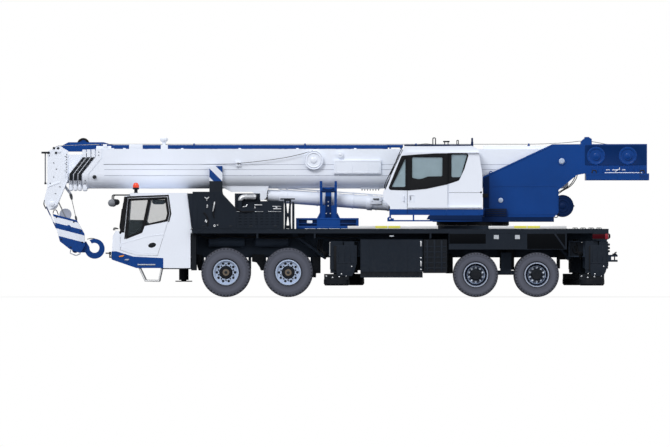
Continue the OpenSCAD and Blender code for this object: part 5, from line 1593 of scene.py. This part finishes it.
class CRANE_OT_chassis_trim(Operator):
    """Box doors, plates painted as the shade of side recesses, hoses, air tanks, brackets, lamps and tail
    fittings below the deck
    """

    bl_idname = "crane.chassis_trim"
    bl_label = "Chassis trim"

    def execute(self, context):
        bm = bmesh.new()
        for s in (LEFT, RIGHT):
            x0 = 345 if s < 0 else 520
            for x in (x0 + 200, x0 + 640, x0 + 1060):
                block(bm, (x, x + 6), (s * 1368, s * 1373), (580, 1270), edge=2)
            for z in (690, 1140):
                block(bm, (1690, 1722), (s * 1369, s * 1380), (z, z + 120), edge=5, mat=1)
            for z in (640, 900, 1180):
                lathe(bm, [(0, 0), (16, 0), (16, 8), (10, 12), (0, 13)], vec(1705, s * 1369, z - 20),
                      (0, s, 0), mat=1, steps=20)
            block(bm, (x0, 1744), (s * 1358, s * 1370), (439, 470), edge=4)
            for x in (1830, 1990, 2150):
                block(bm, (x, x + 40), (s * 1358, s * 1372), (560, 1280), edge=4)
            for z in (640, 760, 880, 1000, 1120):
                block(bm, (1790, 2270), (s * 1358, s * 1366), (z, z + 26), edge=4)
            # Near-black plates on the box sides where the recesses are: painted shade
            block(bm, (2340, 3160), (s * 1372, s * 1378), (1200, 1420), edge=4, mat=2)
            sheet(bm, [[(4090, 1422), (4946, 1422), (4946, 1082), (4090, 1082)]], (s * 1373, s * 1377),
                  edge=1, mat=2)
            sheet(bm, [[(4690, 1424), (4732, 1424), (4950, 1116), (4946, 1078), (4932, 1078)]],
                  (s * 1375, s * 1383), edge=2)
        piece("box_doors", bm, ["slate_paint", "silver_metal", "recess_painted_shade"], "carrier")
        bm = bmesh.new()
        for s in (LEFT, RIGHT):
            for z, x0, x1 in ((1180, -3100, -2250), (1180, -2050, -1250)):
                lathe(bm, [(0, 0), (60, 4), (110, 34), (118, 70), (118, x1 - x0 - 70), (110, x1 - x0 - 34),
                           (60, x1 - x0 - 4), (0, x1 - x0)], vec(x0, s * 640, z + 60), (1, 0, 0), steps=32)
        # The air tanks take the lightened slate, painted light against the shade under the deck
        piece("air_tanks", bm, ["chassis_slate_painted_light"], "carrier")
        bm = bmesh.new()
        for s in (LEFT, RIGHT):
            for i, (a, b, c) in enumerate(((-3300, -2700, 1390), (-2900, -1500, 1405), (-2200, -900, 1380),
                                           (-700, 300, 1390))):
                tube(bm, [(a, s * (1000 + 30 * i), c), ((a + b) / 2, s * (1040 + 30 * i), c - 70),
                          (b, s * (1000 + 30 * i), c - 10)], 16)
            for j in [x for _, jack_side, _, x, _ in JACKS if jack_side == s]:
                for i in range(3):
                    tube(bm, [(j - 320 - 40 * i, s * 900, 1300), (j - 330 - 30 * i, s * 1010, 1130 - 60 * i),
                              (j - 270 + 20 * i, s * 1060, 920 + 40 * i), (j - 250, s * 900, 860)], 13)
        piece("chassis_hoses", bm, ["rubber"], "carrier")
        bm = bmesh.new()
        frame_front = -3338
        hanger = [(-817, 960), (-817, 795), (-718, 778), (-644, 672), (-619, 597), (-537, 597), (-537, 960)]
        plates = [[(max(x + dx, frame_front), z) for dx, z in hanger] for _, x in FRONT_AXLES]
        plates.append([(-731, 900), (-731, 440), (-650, 440), (-650, 534), (-549, 534), (-549, 900)])
        for x0, x1, z0, z1 in ((2270, 2428, 530, 940), (250, 372, 600, 1290), (1700, 1800, 570, 1290),
                               (3640, 3807, 610, 1100), (3490, 3530, 640, 1100), (4776, 4838, 640, 1100)):
            plates.append([(x0, z1), (x0, z0), (x1, z0), (x1, z1)])
        plates.append([(4838, 1100), (4838, 842), (5060, 842), (5120, 800), (5120, 1100)])
        for s in (LEFT, RIGHT):
            for plate in plates:
                sheet(bm, [rounded(plate, 14)], (s * 430, s * 690), edge=6)
            tube(bm, [(5073, s * 640, 850), (5073, s * 640, 560)], 11, smooth=False)
            tube(bm, [(3420, s * 620, 546), (3830, s * 620, 546)], 50, smooth=False)
        piece("wheel_brackets", bm, ["black_paint"], "carrier")
        bm = bmesh.new()
        for s in (LEFT, RIGHT):
            block(bm, (986, 1110), (s * 1360, s * 1378), (1352, 1392), edge=6, mat=1)
            block(bm, (1002, 1094), (s * 1372, s * 1382), (1358, 1386), edge=8)
            block(bm, (5846, 5904), (s * 1372, s * 1379), (1306, 1424), edge=6, mat=2)
            block(bm, (5560, 5838), (s * 1372, s * 1377), (1312, 1416), edge=5, mat=3)
            block(bm, (5905, 5918), (s * 1060, s * 1370), (1300, 1420), edge=6, mat=2)
        piece("marker_lamps", bm, ["white_lens", "black_plastic", "red_lens", "dark_lens"], "carrier")
        bm = bmesh.new()
        for s in (LEFT, RIGHT):
            rail(bm, [(5912, s * 420, 1424), (5962, s * 420, 1410), (5962, s * 420, 1330),
                      (5912, s * 420, 1310)], 30, 14)
            for z in (1030, 1100, 1180):
                lathe(bm, [(0, 0), (26, 0), (26, 30), (18, 46), (0, 48)], vec(5920, s * 300, z), (1, 0, 0),
                      steps=20, mat=1)
        rail(bm, [(6075, 0, 800), (6075, 0, 985), (6120, 0, 1010)], 20, 14, mat=1)
        lathe(bm, [(0, 0), (46, 0), (52, 12), (40, 30), (0, 32)], vec(6075, 0, 948), (0, 0, 1),
              steps=24, mat=1)
        piece("tail_fittings", bm, ["black_paint", "dark_steel"], "carrier")
        return {"FINISHED"}


class CRANE_OT_outrigger_trim(Operator):
    """Panels, bolts and hoses of the jack boxes, and ribs of the floats"""

    bl_idname = "crane.outrigger_trim"
    bl_label = "Outrigger trim"

    def execute(self, context):
        for end, s, side, x, span in JACKS:
            bm = bmesh.new()
            out = (0, s, 0)
            y = s * 1150
            a, b = x + span[0], x + span[1]
            sheet(bm, [rounded([(a, 1164), (b, 1164), (b, 760), (b - 60, 560), (b - 110, 470), (a + 20, 470),
                                (a, 560)], 14)], (s * 1332, s * 1342), edge=2, mat=2)
            for share in (0.08, 0.38, 0.66, 0.9):
                rib = a + (b - a) * share
                block(bm, (rib, rib + 16), (s * 1340, s * 1347), (790, 1140), edge=2, mat=2)
            block(bm, (a + 12, b - 12), (s * 1340, s * 1347), (756, 776), edge=2, mat=2)
            for share, z in ((0.25, 520), (0.75, 690)):
                lathe(bm, [(0, 0), (15, 0), (15, 8), (9, 12), (0, 13)],
                      vec(a + (b - a) * share, s * 1340, z), out, steps=20, mat=1)
            block(bm, (x - 60, x + 60), (s * 1300, s * 1334), (600, 1150), edge=6)
            for dx in (-118, 118):
                tube(bm, [(x + dx, y + s * 105, 1240), (x + dx, y + s * 118, 900),
                          (x + dx * 0.9, y + s * 105, 620)], 12)
                lathe(bm, [(0, 0), (20, 0), (20, 10), (12, 16), (0, 17)],
                      vec(x + dx * 0.6, y + s * 118, 640), out, steps=20, mat=1)
            for z in (700, 950, 1180):
                block(bm, (x - 128, x + 128), (y - 128, y + 128), (z, z + 22), edge=5, mat=2)
            piece("jack_lines_%s_%s" % (end, side), bm, ["rubber", "silver_metal", "slate_paint"],
                  "beam_%s_%s" % (end, side))
            bm = bmesh.new()
            for i in range(8):
                turn = Matrix.Rotation(math.tau * i / 8, 4, "Z")
                sheet(bm, [[(70, 385), (200, 385), (262, 372), (70, 440)]], (-7, 7), edge=2,
                      at=Matrix.Translation(vec(x, y, 0)) @ turn)
            lathe(bm, [(250, 383), (286, 383), (288, 390), (280, 398), (250, 398)], vec(x, y, 0), (0, 0, 1),
                  steps=48, closed=True)
            for dx, z in ((-230, 470), (-90, 440), (60, 455), (215, 475)):
                lathe(bm, [(0, 0), (17, 0), (17, 8), (10, 13), (0, 14)], vec(x + dx, y + s * 179, z), out,
                      steps=20, mat=1)
            for dx in (-278, 266):
                block(bm, (x + dx, x + dx + 12), (y - 182, y + 182), (392, 516), edge=4)
            piece("float_ribs_%s_%s" % (end, side), bm, ["black_paint", "silver_metal"],
                  "jack_%s_%s" % (end, side))
        return {"FINISHED"}


class CRANE_OT_turntable_trim(Operator):
    """Hub bolts, plates, hose reel, hoses, rails, plates painted as the winch zone's shade and eyes of the
    upper works
    """

    bl_idname = "crane.turntable_trim"
    bl_label = "Upper works trim"

    def execute(self, context):
        bm = bmesh.new()
        for s in (LEFT, RIGHT):
            y = s * 450
            out = (0, s, 0)
            lathe(bm, [(0, 12), (58, 12), (64, 14), (64, 20), (50, 24), (46, 34), (0, 36)],
                  vec(BOOM_FOOT[0], y, BOOM_FOOT[1]), out, mat=1)
            lathe(bm, [(0, 14), (50, 14), (54, 18), (40, 26), (0, 28)], vec(3506, y, 2178), out, mat=1)
            for x in WINCH_X:
                lathe(bm, [(0, 24), (60, 24), (64, 30), (40, 40), (0, 42)], vec(x, y, WINCH_Z), out)
                lathe(bm, [(150, -2), (205, -2), (205, 8), (196, 14), (160, 14), (150, 8)],
                      vec(x, y, WINCH_Z), out, steps=48, closed=True)
                for dx, dz in around(10, 178):
                    peg(bm, vec(x + dx, y + s * 12, WINCH_Z + dz), out, 13, 12, sides=6, edge=2)
            for x in range(5560, 6760, 116):
                block(bm, (x, x + 22), (y - s * 2, y + s * 9), (2800, 2960), edge=4)
            sheet(bm, [[(3282, 1850), (3282, 2470), (3330, 2500), (4790, 2500), (4790, 1920), (4700, 1850)],
                       [(3300, 1866), (3300, 2462), (3336, 2484), (4772, 2484), (4772, 1928), (4694, 1866)]],
                  (y - s * 2, y + s * 6), edge=2)
            sheet(bm, [[(3120, 2712), (4668, 3434), (4668, 3398), (3132, 2682)]],
                  (y - s * 2, y + s * 8), edge=3)
            lathe(bm, [(26, -14), (44, -14), (44, 14), (26, 14)], vec(3285, y - s * 50, 2790), out, steps=32,
                  closed=True)
            sheet(bm, [[(3230, 2790), (3250, 2740), (3340, 2785), (3320, 2800)]],
                  (y - s * 64, y - s * 36), edge=3)
        piece("upper_plates", bm, ["blue_paint", "wheel_silver"], "superstructure")
        bm = bmesh.new()
        reel = vec(4898, -430, 2048)
        lathe(bm, [(0, 0), (60, 0), (66, 14), (40, 24), (0, 26)], reel, (0, -1, 0))
        for r in (130, 190, 236):
            lathe(bm, [(r - 9, -2), (r + 9, -2), (r + 9, 8), (r, 14), (r - 9, 8)], reel, (0, -1, 0),
                  steps=56, closed=True)
        block(bm, (5120, 5165), (-430, -380), (2030, 2066), edge=6)
        block(bm, (3096, 3220), (-500, -448), (2240, 2326), edge=6, mat=1)
        block(bm, (3150, 3640), (-540, -448), (1724, 1990), edge=10)
        for z in (1770, 1820, 1870, 1920, 1960):
            block(bm, (3170, 3620), (-546, -536), (z, z + 14), edge=4, mat=1)
        sheet(bm, [[(3114, 2000), (3114, 2590), (3130, 2690), (3250, 2745), (3250, 2000)]],
              (-453, -448), edge=1)
        piece("hose_reel", bm, ["navy_paint_and_shade", "black_plastic"], "superstructure")
        bm = bmesh.new()
        for dx, dy in ((0, 0), (-40, 40)):
            tube(bm, [(4800 + dx, -420 + dy, 2320), (4900 + dx, -470 + dy, 2390),
                      (5080 + dx, -470 + dy, 2500), (5190 + dx, -440 + dy, 2640),
                      (5240 + dx, -400 + dy, 2770)], 10)
        tube(bm, [(4690, -430, 1812), (4760, -480, 1790), (4800, -480, 1830), (4806, -452, 1890)], 10)
        piece("upper_hoses", bm, ["rubber"], "superstructure")
        bm = bmesh.new()
        for s in (LEFT, RIGHT):
            y = s * 462
            rail(bm, [(5850, y, 2786), (5850, y + s * 30, 2796), (6690, y + s * 30, 2796), (6690, y, 2786)],
                 24, 9)
            rail(bm, [(6090, y, 2800), (6090, y + s * 18, 2830), (6180, y + s * 18, 2880), (6180, y, 2910)],
                 16, 8)
            for x0, x1 in ((5874, 5960), (6010, 6190), (6230, 6312)):
                block(bm, (x0, x1), (s * 450, s * 466), (2852, 2870), edge=4)
        piece("winch_rails", bm, ["white_paint"], "superstructure")
        # Darker blue plates over the winch zone, with holes for the drum rims: painted shade
        bm = bmesh.new()
        rims = [[(x + dx, WINCH_Z + dz) for dx, dz in around(48, 210)] for x in WINCH_X]
        for s in (LEFT, RIGHT):
            sheet(bm, [rounded([(5400, 2968), (6784, 2968), (6784, 3424), (5400, 3424)], 16)] + rims,
                  (s * 448, s * 455), edge=2)
        piece("winch_shade_panels", bm, ["winch_blue_painted_shade"], "superstructure")
        bm = bmesh.new()
        for s in (LEFT, RIGHT):
            block(bm, (5400, 5500), (s * 360, s * 440), (3580, 3603), edge=6)
        lathe(bm, [(0, -330), (44, -330), (40, -80), (40, 80), (44, 330), (0, 330)], vec(5434, 0, 3470),
              (0, 1, 0), steps=32, mat=1)
        for y in (-700, 700):
            for x in (5560, 6640):
                rail(bm, [(x, y, 2781), (x, y, 2850), (x + 90, y, 2850), (x + 90, y, 2781)], 30, 13, mat=1)
        for x0, x1, face in ((5430, 6120, -1106), (6140, 6826, -1103)):
            sheet(bm, [rounded([(x0, 2640), (x1, 2640), (x1, 2768), (x0, 2768)], 12),
                       rounded([(x0 + 20, 2658), (x1 - 20, 2658), (x1 - 20, 2750), (x0 + 20, 2750)], 10)],
                  (face, -1098), edge=2)
        piece("counterweight_fittings", bm, ["blue_paint", "dark_steel"], "superstructure")
        bm = bmesh.new()
        # Navy strip along the platform's edge: painted shade
        sheet(bm, [rounded([(1830, 1744), (3074, 1744), (3074, 1838), (1880, 1838)], 10)], (-1336, -1329),
              edge=2, mat=1)
        lathe(bm, [(0, 0), (52, 0), (52, 20), (40, 30), (0, 30)], vec(1000, -1326, 1756), (0, -1, 0))
        lathe(bm, [(0, 0), (16, 0), (16, 4), (0, 4)], vec(1010, -1357, 1762), (0, -1, 0), mat=2)
        for x in (1120, 1500, 1880, 2260, 2640, 3000):
            block(bm, (x, x + 30), (-1334, -1329), (1850, 1970), edge=2)
        piece("platform_fittings", bm, ["blue_paint", "navy_paint_and_shade", "white_paint"], "superstructure")
        return {"FINISHED"}


class CRANE_OT_lift_trim(Operator):
    """Gland bolts, lines, clamps, collar and valve block of the lift cylinder"""

    bl_idname = "crane.lift_trim"
    bl_label = "Lift cylinder trim"

    def execute(self, context):
        way = (LIFT_EYE - LIFT_FOOT).normalized()
        up = Vector((way.z, 0, -way.x))
        bm = bmesh.new()

        def along(distance, lift, y):
            p = LIFT_FOOT + way * distance + up * lift
            return (p.x, y, p.z)

        for y in (-58, 58):
            tube(bm, [along(380, 150, y), along(460, 186, y), along(2200, 186, y), along(3900, 184, y),
                      along(4000, 160, y)], 14, smooth=False)
        for d in (700, 1500, 2300, 3100, 3800):
            lathe(bm, [(155, -16), (164, -16), (166, -8), (166, 8), (164, 16), (155, 16)],
                  (LIFT_FOOT + way * d) * MM, way, steps=48, closed=True)
            spot = along(d, 176, 0)
            block(bm, (spot[0] - 22, spot[0] + 22), (-84, 84), (spot[2] - 14, spot[2] + 26), edge=5)
        for lift, y in around(12, 118):
            peg(bm, vec(*along(4228, lift, y)), way, 13, 12, sides=6, edge=2, mat=1)
        lathe(bm, [(150, -60), (172, -60), (176, -50), (176, 50), (172, 60), (150, 60)],
              (LIFT_FOOT + way * 1920) * MM, way, steps=56, closed=True)
        block(bm, (560, 832), (-192, -110), (2086, 2246), edge=16)
        for x in (600, 792):
            peg(bm, vec(x, -190, 2166), (0, -1, 0), 20, 16, sides=20)
        rail(bm, [(640, -190, 2206), (640, -214, 2206), (760, -214, 2206), (760, -190, 2206)], 20, 12, mat=1)
        piece("lift_lines", bm, ["white_paint", "dark_steel"], "lift_barrel")
        return {"FINISHED"}


class CRANE_OT_cab_interior(Operator):
    """Instrument hood, pedals and levers seen through the glass"""

    bl_idname = "crane.cab_interior"
    bl_label = "Cab interiors"

    def execute(self, context):
        bm = bmesh.new()
        sheet(bm, [rounded([(-5075, 1395), (-5040, 1500), (-4930, 1520), (-4830, 1440), (-4815, 1260),
                            (-4900, 1385)], 30)], (-1000, -380), edge=14)
        sheet(bm, [rounded([(-5060, 1400), (-4985, 1690), (-4900, 1738), (-4475, 1732), (-4405, 1640),
                            (-4520, 1560), (-4580, 1390), (-4620, 1200), (-4820, 1200)], 40)],
              (-370, 370), edge=16)
        block(bm, (-4900, -4820), (-160, 160), (1250, 1400), edge=20)
        for y in (-560, -650, -740):
            sheet(bm, [rounded([(-4720, 1060), (-4700, 1060), (-4640, 1180), (-4660, 1190)], 8)],
                  (y - 30, y + 30), edge=5)
        tube(bm, [(-4500, -330, 1000), (-4500, -330, 1300), (-4470, -330, 1420)], 14)
        dome(bm, vec(-4468, -330, 1435), (30, 30, 36))
        piece("driver_controls", bm, ["black_plastic"], "carrier")
        bm = bmesh.new()
        block(bm, (1130, 1270), (-1180, -1000), (2560, 2760), edge=16)
        tube(bm, [(1180, -1100, 2030), (1190, -1100, 2350), (1200, -1090, 2570)], 22)
        for y in (-760, -960):
            sheet(bm, [rounded([(1240, 2070), (1300, 2060), (1380, 2190), (1350, 2210)], 10)],
                  (y - 50, y + 50), edge=6)
        rail(bm, [(2500, -560, 2050), (2560, -560, 2600), (2450, -560, 2700)], 60, 16)
        piece("operator_controls", bm, ["black_plastic"], "superstructure")
        return {"FINISHED"}


class CraneLook(PropertyGroup):
    """Colours of the crane's finishes"""

    white: FloatVectorProperty(name="White paint", description="Boom and cabs", subtype="COLOR",
                               default=srgb(231, 237, 249), min=0, max=1)
    blue: FloatVectorProperty(name="Blue paint", description="Upper works, bumper and jib", subtype="COLOR",
                              default=srgb(8, 61, 132), min=0, max=1)
    slate: FloatVectorProperty(name="Slate paint", description="Hood, deck and boxes", subtype="COLOR",
                               default=srgb(28, 35, 45), min=0, max=1)
    black: FloatVectorProperty(name="Black paint", description="Frame and axles", subtype="COLOR",
                               default=srgb(23, 27, 33), min=0, max=1)
    tyre: FloatVectorProperty(name="Tyre rubber", description="Tread and sidewalls", subtype="COLOR",
                              default=srgb(80, 83, 95), min=0, max=1)
    wheel: FloatVectorProperty(name="Wheel paint", description="Rims and discs", subtype="COLOR",
                               default=srgb(176, 192, 218), min=0, max=1)
    glass: FloatVectorProperty(name="Glass tint", description="Panes of both cabs", subtype="COLOR",
                               default=srgb(108, 123, 130), min=0, max=1)


class CraneTyres(PropertyGroup):
    """Tread of the tyres"""

    blocks: IntProperty(name="Tread blocks", description="Blocks round one tyre", default=84,
                        min=24, max=140)
    depth: FloatProperty(name="Tread depth", description="Depth of the grooves", default=0.013, min=0.004,
                         max=0.02, subtype="DISTANCE", unit="LENGTH")


PIECES = (
    CRANE_OT_stage, CRANE_OT_finishes, CRANE_OT_tyres, CRANE_OT_wheel_nuts,
    CRANE_OT_driver_glazing, CRANE_OT_driver_trim, CRANE_OT_seats, CRANE_OT_cab_interior,
    CRANE_OT_operator_glazing, CRANE_OT_operator_trim, CRANE_OT_boom_trim, CRANE_OT_head_trim,
    CRANE_OT_ropes, CRANE_OT_hook_trim, CRANE_OT_lift_trim, CRANE_OT_engine_bay, CRANE_OT_deck_trim,
    CRANE_OT_support_trim, CRANE_OT_chassis_trim, CRANE_OT_outrigger_trim, CRANE_OT_turntable_trim,
)


class CRANE_PT_dressing(Panel):
    """Lists the pieces of the dressing"""

    bl_label = "Truck Crane"
    bl_idname = "CRANE_PT_dressing"
    bl_space_type = "VIEW_3D"
    bl_region_type = "UI"
    bl_category = "Truck Crane"

    def draw(self, context):
        for name in CraneLook.__annotations__:
            self.layout.prop(context.scene.crane_look, name)
        for name in CraneTyres.__annotations__:
            self.layout.prop(context.scene.crane_tyres, name)
        for made in PIECES:
            self.layout.operator(made.bl_idname)


CLASSES = (CraneLook, CraneTyres) + PIECES + (CRANE_PT_dressing,)


def register():
    for made in CLASSES:
        bpy.utils.register_class(made)
    bpy.types.Scene.crane_look = PointerProperty(type=CraneLook)
    bpy.types.Scene.crane_tyres = PointerProperty(type=CraneTyres)


def unregister():
    del bpy.types.Scene.crane_tyres
    del bpy.types.Scene.crane_look
    for made in reversed(CLASSES):
        bpy.utils.unregister_class(made)


def main():
    register()
    for made in PIECES:
        group, name = made.bl_idname.split(".")
        getattr(getattr(bpy.ops, group), name)()


if __name__ == "__main__":
    main()
